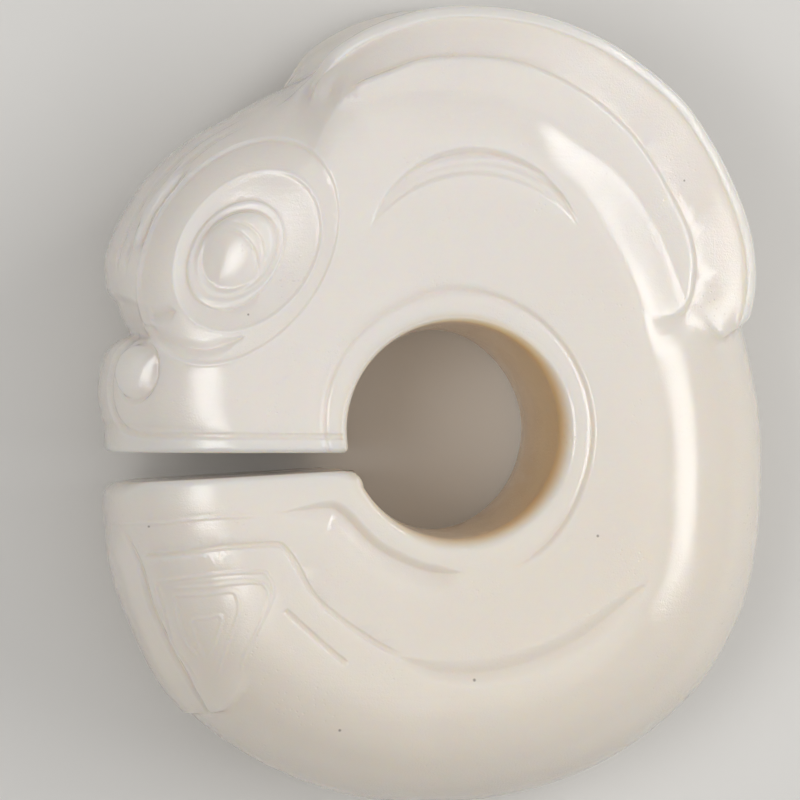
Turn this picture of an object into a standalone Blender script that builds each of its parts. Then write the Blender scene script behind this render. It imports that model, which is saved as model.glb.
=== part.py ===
"""Jade pig dragon: a C-shaped pendant carved in the round from one pebble of pale nephrite.

The pendant lies on its far face. +X runs from the snout to the back, +Y from the belly to the
ears and +Z up through its thickness. The origin is under the middle of its box.

Every cross-section of the ring runs from the bore to the outline. One half-section is worked out
from named sizes, carved, and turned over for the other face, and the sections are lofted round
the hole from the mouth to the tail.
"""

import math

import bmesh
import bpy
import numpy as np

# Driving sizes in metres
HEIGHT = 0.055  # from the belly to the top of the ears
THICKNESS = 0.019  # between the two faces
HOLE_DIAMETER = 0.0138  # at the waist of the bore
BORE_FLARE = 0.00045  # how far the bore widens from its waist to each face
BORE_EDGE_RADIUS = 0.0009  # rounding between the bore and a face, times the share by angle below
SLIT_AT_HOLE = 0.0011  # gap under the muzzle, next to the hole
SLIT_AT_FRONT = 0.0020  # the same gap at the lips
LIP_EDGE_RADIUS = 0.0004  # rounding round the mouth face and the tail face
TAIL_CORNER_RADIUS = 0.0012  # rounding of the tail at both ends of the slit
LINE_WIDTH = 0.0005  # engraved lines
LINE_DEPTH = 0.00016
LINE_SOFTNESS = 0.0001  # how far the polish has rounded the lip of a line

# How finely the surface is worked out, and how far it is then thinned
SECTIONS = 460
WALL_STEPS = 10
EDGE_STEPS = 5
FACE_STEPS = 52
OUTER_STEPS = 56
END_STEPS = 4
CAP_STEPS = 5
FACE_BUDGET = 9600  # triangles left where the form needs them

# Free form, as shares of the height. Angles are degrees round the hole from +X, and the ring
# runs from the mouth, a little past 180, clockwise over the head, the back and the belly to the
# tail at about -170.
MOUTH_LEVEL = -0.0282  # the flat face of the muzzle, below the middle of the hole
VIEW_LEAN = 0.14  # the carving is laid out as it shows from a little in front of the face
CARVING_PLANE = 0.167  # height at which the lean moves nothing
MUZZLE_REACH = 0.42  # from the middle of the hole to the front of the slit

HOLE_EDGE = (  # how round the edge of the bore is worn, by angle
    (-172.0, 0.60), (-120.0, 0.90), (-70.0, 1.50), (-30.0, 1.90), (10.0, 1.80), (45.0, 1.10),
    (80.0, 0.60), (120.0, 0.45), (186.0, 0.45),
)
OUTLINE = (
    (-172.0, 0.4185), (-170.3, 0.4226), (-166.6, 0.4300), (-162.0, 0.4345), (-154.0, 0.4435),
    (-147.7, 0.4506), (-140.5, 0.4622), (-134.8, 0.4694), (-128.6, 0.4712), (-116.0, 0.4720),
    (-102.0, 0.4722), (-86.0, 0.4685), (-65.0, 0.4700), (-45.3, 0.4665), (-36.7, 0.4586),
    (-30.0, 0.4510), (-23.6, 0.4405), (-8.7, 0.4196), (0.0, 0.4140), (12.8, 0.4091),
    (20.0, 0.4110), (40.0, 0.4340), (60.0, 0.4600), (80.0, 0.4740), (100.0, 0.4740),
    (114.3, 0.4692), (122.6, 0.4701), (130.4, 0.4783), (138.5, 0.4816), (146.6, 0.4769),
    (152.0, 0.4692), (155.8, 0.4590), (160.0, 0.4470), (164.0, 0.4380), (168.0, 0.4315),
    (172.0, 0.4280), (174.0, 0.4262), (178.3, 0.4190), (179.4, 0.4160), (181.4, 0.4171),
    (186.0, 0.4161),
)
BROW_NOTCH = (  # how deep the outline is cut back between brow and muzzle
    (153.0, 0.0), (155.8, 0.0048), (157.1, 0.0075), (158.3, 0.0200), (159.8, 0.0265),
    (161.1, 0.0330), (162.4, 0.0390), (164.0, 0.0250), (166.0, 0.0110), (168.5, 0.0035), (172.0, 0.0),
)
NOTCH_REACH = 0.092  # how far in from the outline the cut runs out
SHOULDER = (  # how wide a band along the outline rolls off from the face
    (-172.0, 0.160), (-160.0, 0.185), (-150.0, 0.200), (-125.0, 0.185), (-100.0, 0.170),
    (-60.0, 0.180), (-30.0, 0.195), (0.0, 0.200), (22.0, 0.200), (60.0, 0.150), (110.0, 0.150),
    (135.0, 0.180), (160.0, 0.198), (186.0, 0.198),
)
ROLL_POWER = (  # 2 rolls off as an ellipse, more keeps the face flatter
    (-172.0, 2.4), (-140.0, 2.2), (-100.0, 2.25), (-40.0, 2.15), (20.0, 2.15), (60.0, 2.25),
    (110.0, 2.25), (145.0, 2.2), (160.0, 2.3), (186.0, 2.3),
)

# Ears, by angle round the hole
EAR_ROOT = (121.0, 106.0)  # the ear grows out of the forehead between these angles
EAR_TIP = (16.6, 17.7)  # its tip ends between these angles, at the radius below
EAR_TIP_SWEEP = 44.0  # degrees that the tip's edge leans for each share of height outwards
EAR_TIP_RADIUS = 0.340
EAR_TIP_MELT = 10.0  # degrees over which the inner part of the ear melts into the body
EAR_CREASE = (  # radius of the line between the inner lobe and the scoop
    (14.0, 0.318), (22.0, 0.322), (26.0, 0.328), (31.0, 0.343), (34.0, 0.359), (38.1, 0.374),
    (48.0, 0.397), (58.7, 0.424), (69.5, 0.445), (82.6, 0.4580),
    (90.6, 0.4565), (94.5, 0.4554), (97.0, 0.4514), (100.3, 0.4453), (103.8, 0.4407), (107.4, 0.4358),
    (121.0, 0.4290),
)
EAR_RIM = (  # radius of the outermost edge
    (12.0, 0.397), (18.5, 0.399), (20.8, 0.4095), (24.0, 0.4248), (27.6, 0.4392), (31.5, 0.4519),
    (36.7, 0.4654), (42.4, 0.4784), (48.8, 0.4942), (54.5, 0.5074), (60.0, 0.5150),
    (70.4, 0.5263), (79.1, 0.5296), (89.1, 0.5270), (99.0, 0.5136), (106.0, 0.4958),
    (111.8, 0.4736), (116.0, 0.4560), (121.0, 0.4400),
)
EAR_SCOOP_FRONT = (108.4, 104.6)  # the scoop closes in a round end between these angles
EAR_RIM_HEIGHT = (  # height of the rim above the middle plane, as a share of the half thickness
    (12.0, 0.730), (24.0, 0.725), (29.0, 0.710), (33.0, 0.720), (36.0, 0.732), (40.0, 0.742),
    (47.0, 0.752), (60.0, 0.750), (72.0, 0.776), (80.0, 0.780), (90.0, 0.775), (110.0, 0.670),
    (121.0, 0.600),
)
EAR_BANK = (  # radius of the middle of the bank that falls from the face to the lobe
    (14.0, 0.292), (27.0, 0.298), (33.0, 0.306), (41.0, 0.318), (49.0, 0.332), (57.0, 0.346),
    (66.0, 0.356), (75.0, 0.372), (90.0, 0.385), (121.0, 0.385),
)
EAR_BANK_WIDTH = 0.075
EAR_BANK_DROP = (  # how far the bank falls, down to the floor of the scoop
    (12.0, 0.0200), (22.0, 0.0230), (27.0, 0.0255), (38.0, 0.0270), (55.0, 0.0265), (65.0, 0.0240),
    (75.0, 0.0205), (90.0, 0.0170), (104.0, 0.0145), (108.0, 0.0110), (121.0, 0.0090),
)
EAR_LOBE_TILT = 0.10  # slope of the lobe, down towards the crease
EAR_STEP = 0.0065  # the lobe stands this much over the floor of the scoop
EAR_LOBE_END = (  # the round lower end of the lobe, on from the crease
    (0.2960, 0.1885), (0.2950, 0.1770), (0.2905, 0.1620), (0.2835, 0.1500), (0.2740, 0.1440),
    (0.2620, 0.1430), (0.2490, 0.1460), (0.2350, 0.1520), (0.2150, 0.1600), (0.1950, 0.1680),
)
EAR_LIP_HEIGHT = 0.0034  # how far the rim stands up over the floor
EAR_LIP_WIDTH = 0.0170
EAR_LIFT_FAR = 0.0115  # the ear on the far face stands this much prouder over the brow
EAR_LIFT_ENDS = (80.0, 94.0, 111.0, 119.0)

# Eye, as ellipses: middle, two radii and the tilt of the first
EYE_BROW = ((-0.2674, 0.2204), (0.1539, 0.1093), 54.0)
EYE_SOCKET = ((-0.2570, 0.2210), (0.1097, 0.0823), 52.0)
EYE_BALL = ((-0.2733, 0.2174), (0.0752, 0.0570), 54.6)
EYE_RING = ((-0.2715, 0.2194), (0.0607, 0.0481), 45.3)
EYE_LEVELS = (0.0012, 0.0045, 0.0145)  # depth at the brow line, the socket line and the eyeball
EYE_RIDGE = 0.0010  # fine ridge left standing along each line
EYE_RIDGE_WIDTH = 0.0045
EYE_BALL_STEP = 0.0030  # the eyeball's ring stands up out of the dish
EYE_BALL_RISE = 0.0060
EYE_BALL_TILT = (0.10, 0.14)  # slopes of the eyeball along X and Y, which turn it to the front
EYE_FOLDS = (((-0.2777, 0.2151), 0.0419, (-8.0, 84.0)), ((-0.2913, 0.2004), 0.0479, (-8.0, 80.0)))

# Snout
NOSTRIL = ((-0.3928, 0.0714), (0.0350, 0.0225), 77.0)
NOSTRIL_RISE = 0.0040
NOSTRIL_TILT = (0.58, 0.12)  # slopes that turn the nostril out of the roll-off
SNOUT_LINE = (
    (-0.398, 0.116), (-0.423, 0.090), (-0.431, 0.048), (-0.420, 0.011), (-0.392, -0.005),
    (-0.317, -0.007), (-0.138, -0.008),
)
CHEEK_LINE = ((-0.390, 0.133), (-0.372, 0.120), (-0.348, 0.105), (-0.304, 0.100), (-0.255, 0.117))
CHEEK_CREASE = ((-0.380, 0.137), (-0.366, 0.142), (-0.346, 0.147))

# Neck, belly and tail
NECK_OUTER = ((0.0262, 0.2155), 0.1345)  # middle and radius of the crescent's outer arc
NECK_INNER = ((0.0262, 0.1480), 0.1640)
NECK_HOLLOW_DEPTH = 0.0075
BELLY_HOLLOW = ((-0.069, -0.281), (-0.010, -0.299), (0.060, -0.296), (0.150, -0.262), (0.240, -0.192))
BELLY_HOLLOW_WIDTH = 0.046
BELLY_HOLLOW_DEPTH = 0.0060
EAR_FRONT = ((-0.142, 0.462), (-0.151, 0.450), (-0.164, 0.430), (-0.169, 0.412), (-0.177, 0.395))
EAR_FRONT_WIDTH = 0.024
EAR_FRONT_RISE = 0.0050
TAIL_CUTS = (
    ((-0.430, -0.115), (-0.389, -0.114), (-0.363, -0.113), (-0.311, -0.108), (-0.235, -0.105)),
    ((-0.385, -0.155), (-0.346, -0.152), (-0.292, -0.144), (-0.262, -0.142), (-0.222, -0.140),
     (-0.210, -0.146), (-0.198, -0.162), (-0.169, -0.209), (-0.107, -0.256), (-0.060, -0.281)),
    ((-0.210, -0.221), (-0.169, -0.258), (-0.131, -0.290)),
)
TAIL_TRIANGLES = (  # the outlines of two nested triangles, open at the top left
    ((-0.373, -0.186), (-0.346, -0.183), (-0.287, -0.176), (-0.240, -0.174), (-0.231, -0.180),
     (-0.224, -0.195), (-0.228, -0.212), (-0.243, -0.245), (-0.262, -0.282), (-0.266, -0.306)),
    ((-0.316, -0.320), (-0.336, -0.289), (-0.351, -0.269), (-0.358, -0.245), (-0.365, -0.215),
     (-0.350, -0.204), (-0.311, -0.202), (-0.278, -0.198), (-0.269, -0.206), (-0.268, -0.225),
     (-0.282, -0.265), (-0.300, -0.314)),
)
RING_MIDDLE = (-0.0040, -0.0030)
RING_WIDTH = (  # width of the collar between the hole and the ring line, by angle
    (-70.0, 0.0510), (-48.0, 0.0480), (-17.0, 0.0420), (54.0, 0.0430), (90.0, 0.0415),
    (114.0, 0.0350), (144.0, 0.0310), (177.0, 0.0230), (192.0, 0.0190),
)
RING_FADE = (-74.0, -42.0, 186.0, 192.0)
RING_DEPTH = 0.0046
COLLAR_CROWN = 0.0018  # the collar's top lies this much below the face
RING_BANK = (  # how far outside the ring line the face slopes down to it
    (-70.0, 0.008), (60.0, 0.009), (100.0, 0.020), (150.0, 0.028), (192.0, 0.026),
)
COLLAR_TROUGH = (
    (-0.236, -0.104), (-0.162, -0.096), (-0.138, -0.104), (-0.094, -0.146), (-0.032, -0.174),
    (0.022, -0.177),
)
COLLAR_TROUGH_WIDTH = 0.013
COLLAR_TROUGH_DEPTH = 0.0065

# Front of the chest and the brow. Edges are (y, x) pairs.
CHEST_BAND_RISE = 0.0050
CHEST_EDGE = (
    (-0.360, -0.306), (-0.340, -0.314), (-0.323, -0.326), (-0.299, -0.341), (-0.272, -0.356),
    (-0.242, -0.370), (-0.210, -0.383), (-0.178, -0.391), (-0.154, -0.400), (-0.134, -0.410),
    (-0.124, -0.415), (-0.105, -0.424),
)
CHEST_BAND_ENDS = (-0.3545, -0.3500, -0.1700, -0.1150)
SHIELD_RISE = 0.0060  # the raised front, whose lower end stands over the belly
SHIELD_LEFT = (
    (-0.3495, -0.292), (-0.3475, -0.304), (-0.340, -0.311), (-0.323, -0.323), (-0.299, -0.338),
    (-0.272, -0.353), (-0.242, -0.367), (-0.210, -0.380),
)
SHIELD_RIGHT = (
    (-0.3495, -0.290), (-0.345, -0.279), (-0.337, -0.271), (-0.319, -0.256), (-0.300, -0.252),
    (-0.282, -0.252), (-0.250, -0.244), (-0.226, -0.234),
)
SHIELD_FADE = (-0.345, -0.290)
BROW_LINES = (0.50, 0.37)  # heights on the roll-off, as shares of the half thickness
BROW_LINE_ENDS = (122.0, 130.0, 150.0, 155.0)

JADE_COLOUR = (0.80, 0.76, 0.66, 1.0)
JADE_ROUGHNESS = 0.22


def curve_through(at, knots):
    """A smooth curve that passes every (place, value) knot and never overshoots one."""
    place, value = np.array(knots, dtype=float).T
    gap = np.diff(place)
    rise = np.diff(value) / gap
    slope = np.zeros(len(place))
    same_way = rise[:-1] * rise[1:] > 0
    left = 2 * gap[1:] + gap[:-1]
    right = gap[1:] + 2 * gap[:-1]
    safe = np.where(same_way, rise[:-1], 1.0), np.where(same_way, rise[1:], 1.0)
    slope[1:-1] = np.where(same_way, (left + right) / (left / safe[0] + right / safe[1]), 0.0)
    slope[0], slope[-1] = rise[0], rise[-1]
    at = np.clip(at, place[0], place[-1])
    span = np.clip(np.searchsorted(place, at, side="right") - 1, 0, len(gap) - 1)
    step = (at - place[span]) / gap[span]
    return (
        value[span] * (1 + 2 * step) * (1 - step) ** 2
        + gap[span] * slope[span] * step * (1 - step) ** 2
        + value[span + 1] * step**2 * (3 - 2 * step)
        + gap[span] * slope[span + 1] * step**2 * (step - 1)
    )


def ease(value, low, high):
    """0 below low and 1 above high, with a smooth turn between them."""
    step = np.clip((value - low) / (high - low), 0.0, 1.0)
    return step * step * (3 - 2 * step)


def window(value, start, full, fade, end):
    """1 between full and fade, falling smoothly to 0 at start and end."""
    return ease(value, start, full) * (1 - ease(value, fade, end))


def through_stations(at, places, values):
    """For each row of values, a smooth curve through them, read at the places in at."""
    gap = np.diff(places)
    rise = np.diff(values, axis=1) / gap
    slope = np.zeros_like(values)
    total = rise[:, :-1] + rise[:, 1:]
    total = np.where(total == 0, 1.0, total)
    product = rise[:, :-1] * rise[:, 1:]
    slope[:, 1:-1] = np.where(product > 0, 2 * product / total, 0.0)
    slope[:, 0], slope[:, -1] = rise[:, 0], rise[:, -1]
    span = np.clip(np.searchsorted(places, at, side="right") - 1, 0, len(gap) - 1)
    step = (at - places[span]) / gap[span]
    return (
        values[:, span] * (1 + 2 * step) * (1 - step) ** 2
        + gap[span] * slope[:, span] * step * (1 - step) ** 2
        + values[:, span + 1] * step**2 * (3 - 2 * step)
        + gap[span] * slope[:, span + 1] * step**2 * (step - 1)
    )


def bend(points, per_span=10):
    """Points along a smooth line through a few chosen ones, as a Catmull-Rom curve."""
    knots = np.array(points, dtype=float)
    padded = np.vstack([2 * knots[0] - knots[1], knots, 2 * knots[-1] - knots[-2]])
    steps = np.linspace(0.0, 1.0, per_span, endpoint=False)[:, None]
    parts = []
    for before, start, end, after in zip(padded, padded[1:], padded[2:], padded[3:]):
        parts.append(
            0.5 * (2 * start + (end - before) * steps
                   + (2 * before - 5 * start + 4 * end - after) * steps**2
                   + (3 * start - before - 3 * end + after) * steps**3)
        )
    return np.vstack(parts + [knots[-1:]])


def near_line(x, y, line, reach):
    """Distance from each point to a line, and how far along it, as a share, the nearest place is."""
    distance, along, _ = beside_line(x, y, line, reach)
    return distance, along


def beside_line(x, y, line, reach):
    """The same as near_line, and 1 to the left of the line and -1 to its right."""
    distance = np.full(x.shape, 10.0 * reach)
    along = np.zeros(x.shape)
    side = np.zeros(x.shape)
    low, high = line.min(axis=0) - reach, line.max(axis=0) + reach
    close = (x > low[0]) & (x < high[0]) & (y > low[1]) & (y < high[1])
    px, py = x[close], y[close]
    best, place, hand = distance[close], along[close], side[close]
    lengths = np.hypot(*np.diff(line, axis=0).T)
    walked = np.concatenate([[0.0], np.cumsum(lengths)])
    for start, end, length, before in zip(line, line[1:], lengths, walked):
        way = (end - start) / length
        step = np.clip((px - start[0]) * way[0] + (py - start[1]) * way[1], 0.0, length)
        off = np.hypot(px - start[0] - step * way[0], py - start[1] - step * way[1])
        nearer = off < best
        best = np.where(nearer, off, best)
        place = np.where(nearer, (before + step) / walked[-1], place)
        hand = np.where(nearer, np.sign(way[0] * (py - start[1]) - way[1] * (px - start[0])), hand)
    distance[close], along[close], side[close] = best, place, hand
    return distance, along, side


def groove(distance, width, depth, softness):
    """A cut with a flat floor and rounded lips."""
    return -depth * (1 - ease(distance, 0.5 * width - softness, 0.5 * width + softness))


def trough(distance, half_width, depth):
    """A wide cut whose sides slope down to a crease in its middle."""
    share = np.clip(1 - distance / np.maximum(half_width, 1e-6), 0.0, 1.0)
    return -depth * share * share * (3 - 2 * share) ** 0.5


def ellipse_share(x, y, ellipse):
    """How far out a point lies: 0 at the middle of the ellipse and 1 on its line."""
    (middle_x, middle_y), (long_radius, short_radius), tilt = ellipse
    turn = math.radians(tilt)
    away_x, away_y = x - middle_x, y - middle_y
    along = (away_x * math.cos(turn) + away_y * math.sin(turn)) / long_radius
    across = (-away_x * math.sin(turn) + away_y * math.cos(turn)) / short_radius
    return np.hypot(along, across)


def share_between(outer, inner):
    """0 on the outer ellipse and 1 on the inner one, for two shares from ellipse_share."""
    past_outer, short_of_inner = 1 - outer, inner - 1
    between = np.clip(past_outer / np.maximum(past_outer + short_of_inner, 1e-6), 0.0, 1.0)
    return np.where(inner < 1, 1.0, np.where(outer > 1, 0.0, between))


def eye_relief(x, y):
    """A brow line, a dished socket and a domed eyeball with its rings, in shares of the height."""
    brow = ellipse_share(x, y, EYE_BROW)
    socket = ellipse_share(x, y, EYE_SOCKET)
    ball = ellipse_share(x, y, EYE_BALL)
    ring = ellipse_share(x, y, EYE_RING)
    first, second, third = EYE_LEVELS
    relief = -first * (1 - ease(brow, 0.98, 1.01))
    relief -= (second - first) * share_between(brow, socket)
    relief -= (third - second) * share_between(socket, ball) ** 0.75
    relief += EYE_BALL_STEP * (1 - ease(ball, 0.95, 1.02))
    relief -= 0.8 * EYE_BALL_STEP * window(ring, 0.80, 0.94, 0.99, 1.06)
    lean = EYE_BALL_TILT[0] * (x - EYE_RING[0][0]) + EYE_BALL_TILT[1] * (y - EYE_RING[0][1])
    relief += lean * (1 - ease(ring, 0.75, 1.0))
    relief += EYE_BALL_RISE * np.clip(1 - ring**2, 0.0, 1.0)
    for share, (_, (_, short_radius), _) in ((brow, EYE_BROW), (socket, EYE_SOCKET)):
        off = np.abs(share - 1) * short_radius
        relief += EYE_RIDGE * (1 - ease(off, 0.0, EYE_RIDGE_WIDTH))
    for (middle_x, middle_y), radius, (start, end) in EYE_FOLDS:
        away = np.hypot(x - middle_x, y - middle_y)
        angle = np.degrees(np.arctan2(y - middle_y, x - middle_x))
        shown = window(angle, start - 12, start + 12, end - 12, end + 12)
        relief += shown * groove(np.abs(away - radius), 0.006, 0.0020, 0.002)
    return relief


def snout_relief(x, y, reach):
    """The nostril, the line round the nose disc that runs on as the lips, and the cheek."""
    nostril = ellipse_share(x, y, NOSTRIL)
    relief = NOSTRIL_RISE * np.clip(1 - nostril**2, 0.0, 1.0)
    lean = NOSTRIL_TILT[1] * (y - NOSTRIL[0][1]) - NOSTRIL_TILT[0] * (x - NOSTRIL[0][0])
    relief += lean * (1 - ease(nostril, 0.80, 1.20))
    relief += groove(np.abs(nostril - 1.04) * NOSTRIL[1][1], 0.005, 0.0025, 0.0015)
    line_width, line_depth = LINE_WIDTH / HEIGHT, LINE_DEPTH / HEIGHT
    soft = LINE_SOFTNESS / HEIGHT
    away, _ = near_line(x, y, bend(SNOUT_LINE), reach)
    relief += groove(away, line_width, line_depth, soft)
    away, along = near_line(x, y, bend(CHEEK_LINE), reach)
    relief += trough(away, 2.2 * line_width * window(along, -0.01, 0.2, 0.7, 1.0), 1.6 * line_depth)
    away, along = near_line(x, y, bend(CHEEK_CREASE), reach)
    relief += trough(away, 2.4 * line_width * window(along, -0.01, 0.2, 0.7, 1.0), 2.0 * line_depth)
    return relief


def neck_relief(x, y):
    """The crescent below the ear, cut between two arcs."""
    (outer_x, outer_y), outer_radius = NECK_OUTER
    (inner_x, inner_y), inner_radius = NECK_INNER
    short_of_outer = outer_radius - np.hypot(x - outer_x, y - outer_y)
    past_inner = np.hypot(x - inner_x, y - inner_y) - inner_radius
    inside = (short_of_outer > 0) & (past_inner > 0) & (y > 0)
    width = np.where(inside, short_of_outer + past_inner, 1.0)
    share = np.clip(np.where(inside, past_inner, 0.0) / width, 0.0, 1.0)
    widest = outer_y + outer_radius - inner_y - inner_radius
    profile = ease(share, 0.0, 0.72) * (1 - ease(share, 0.80, 1.0))
    return -NECK_HOLLOW_DEPTH * np.where(inside, (width / widest) ** 0.7 * profile, 0.0)


def body_relief(x, y, reach):
    """The ring round the hole, the hollow of the belly, and the lines on the tail."""
    line_width, line_depth = LINE_WIDTH / HEIGHT, LINE_DEPTH / HEIGHT
    soft = LINE_SOFTNESS / HEIGHT
    rim = (0.5 * HOLE_DIAMETER + BORE_FLARE) / HEIGHT
    away_x, away_y = x - RING_MIDDLE[0], y - RING_MIDDLE[1]
    radius = np.hypot(away_x, away_y)
    angle = np.degrees(np.arctan2(away_y, away_x))
    angle = np.where(angle < -150.0, angle + 360.0, angle)
    ring = rim + curve_through(angle, RING_WIDTH)
    shown = window(angle, *RING_FADE)
    outside = np.clip(1 - (radius - ring) / curve_through(angle, RING_BANK), 0.0, 1.0)
    inside = np.clip(1 - (ring - radius) / (0.45 * (ring - rim)), 0.0, 1.0)
    crown = COLLAR_CROWN + (RING_DEPTH - COLLAR_CROWN) * inside**3
    relief = -shown * np.where(radius > ring, RING_DEPTH * outside**2, crown)
    away, along = near_line(x, y, bend(COLLAR_TROUGH), reach)
    width = COLLAR_TROUGH_WIDTH * window(along, 0.0, 0.35, 0.85, 1.0)
    relief += trough(away, width, COLLAR_TROUGH_DEPTH * window(along, 0.0, 0.4, 0.8, 1.0))
    away, along = near_line(x, y, bend(BELLY_HOLLOW), BELLY_HOLLOW_WIDTH)
    fill = np.sqrt(np.clip(4 * along * (1 - along), 0.0, 1.0))
    relief += trough(away, 0.5 * BELLY_HOLLOW_WIDTH * fill, BELLY_HOLLOW_DEPTH * fill)
    away, along = near_line(x, y, bend(EAR_FRONT), reach)
    ridge = EAR_FRONT_RISE * (1 - ease(away, 0.0, 0.5 * EAR_FRONT_WIDTH))
    relief += ridge * window(along, 0.1, 0.45, 0.7, 1.0)
    for points in TAIL_CUTS:
        away, along = near_line(x, y, bend(points), reach)
        cut = groove(away, line_width, line_depth, soft)
        relief += cut * window(along, -0.01, 0.03, 0.94, 1.0)
    for points in TAIL_TRIANGLES:
        away, along = near_line(x, y, bend(points), reach)
        cut = groove(away, line_width, 0.7 * line_depth, soft)
        relief += cut * window(along, -0.01, 0.05, 0.85, 1.0)
    return relief


def lobe_relief(x, y):
    """The lobe of the ear, which stands over the scoop behind it and ends in a round tip."""
    turns = np.radians(np.arange(EAR_SCOOP_FRONT[1], 33.0, -2.0))
    crease = curve_through(np.degrees(turns), EAR_CREASE)
    line = np.stack([crease * np.cos(turns), crease * np.sin(turns)], axis=1)
    reach = 0.14
    away, _, side = beside_line(x, y, np.vstack([line, bend(EAR_LOBE_END)]), reach)
    edge = np.where(side < 0, 1.0, 1 - ease(away, 0.0, 0.0045)) * (away < reach)
    angle = np.clip(np.degrees(np.arctan2(y, x)), EAR_CREASE[0][0], EAR_ROOT[0])
    bank = curve_through(angle, EAR_BANK)
    bank_half = 0.5 * EAR_BANK_WIDTH
    shown = ease(np.hypot(x, y), bank - bank_half, bank + bank_half)
    return EAR_STEP * edge * shown * (1 - ease(angle, EAR_SCOOP_FRONT[1], EAR_SCOOP_FRONT[0]))


def shield_relief(x, y):
    """The raised front of the chest, whose lower end stands over the belly."""
    left = x - curve_through(y, SHIELD_LEFT)
    right = curve_through(y, SHIELD_RIGHT) - x
    across = ease(left, -0.001, 0.004) * ease(right, -0.001, 0.016)
    return SHIELD_RISE * across * (1 - ease(y, *SHIELD_FADE)) * ease(y, -0.3505, -0.3460)


def front_relief(angle, x, y, level):
    """The raised band down the chest, and the two fine lines along each side of the brow."""
    slope = (curve_through(y + 0.002, CHEST_EDGE) - curve_through(y - 0.002, CHEST_EDGE)) / 0.004
    inward = (x - curve_through(y, CHEST_EDGE)) / np.hypot(1.0, slope)
    near_tail = (x < -0.2) & (y < 0.0)
    ends = window(y, *CHEST_BAND_ENDS) * near_tail
    relief = CHEST_BAND_RISE * ends * (1 - ease(inward, -0.0200, -0.0010))
    relief += ends * groove(np.abs(inward - 0.0015), 0.0050, 0.0032, 0.0022)
    shown = window(angle, *BROW_LINE_ENDS)
    for height in BROW_LINES:
        relief += shown * groove(np.abs(level - height) * 0.17, 0.006, 0.0022, 0.002)
    return relief


def section_ends():
    """For each section, its inner point on the waist of the bore and its outer point on the
    outline, from the mouth to the tail."""
    waist = 0.5 * HOLE_DIAMETER
    mouth = MOUTH_LEVEL * HEIGHT
    front = MUZZLE_REACH * HEIGHT
    mouth_end = mouth + LIP_EDGE_RADIUS
    tail_inner = mouth - SLIT_AT_HOLE - TAIL_CORNER_RADIUS
    tail_outer = mouth - SLIT_AT_FRONT - TAIL_CORNER_RADIUS
    inner = (
        180.0 - math.degrees(math.asin(mouth_end / waist)),
        -180.0 - math.degrees(math.asin(tail_inner / waist)),
    )
    outer = (
        180.0 - math.degrees(math.asin(mouth_end / front)),
        -180.0 - math.degrees(math.asin(tail_outer / front)),
    )
    share = np.linspace(0.0, 1.0, SECTIONS)
    outer_angle = outer[0] + (outer[1] - outer[0]) * share
    inner_skew = inner[0] - outer[0], inner[1] - outer[1]
    skew = inner_skew[0] * (1 - ease(share, 0.0, 0.22)) + inner_skew[1] * ease(share, 0.78, 1.0)
    inner_angle = np.radians(outer_angle + skew)
    radius = HEIGHT * curve_through(outer_angle, OUTLINE)
    turn = np.radians(outer_angle)
    inner_points = waist * np.stack([np.cos(inner_angle), np.sin(inner_angle)], axis=1)
    outer_points = radius[:, None] * np.stack([np.cos(turn), np.sin(turn)], axis=1)
    return outer_angle, inner_points, outer_points


def ear_weight(angle, radius):
    """1 where the section carries an ear, 0 where it doesn't, falling steeply at the tip."""
    beyond = radius / HEIGHT - EAR_TIP_RADIUS
    from_tip = angle - EAR_TIP_SWEEP * np.maximum(beyond, 0.0)
    melt = EAR_TIP_MELT * (1 - ease(beyond, -0.01, 0.028))
    tip = ease(from_tip, EAR_TIP[0], EAR_TIP[1] + melt)
    root = 1 - ease(angle, EAR_ROOT[1], EAR_ROOT[0])
    return tip * root


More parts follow.
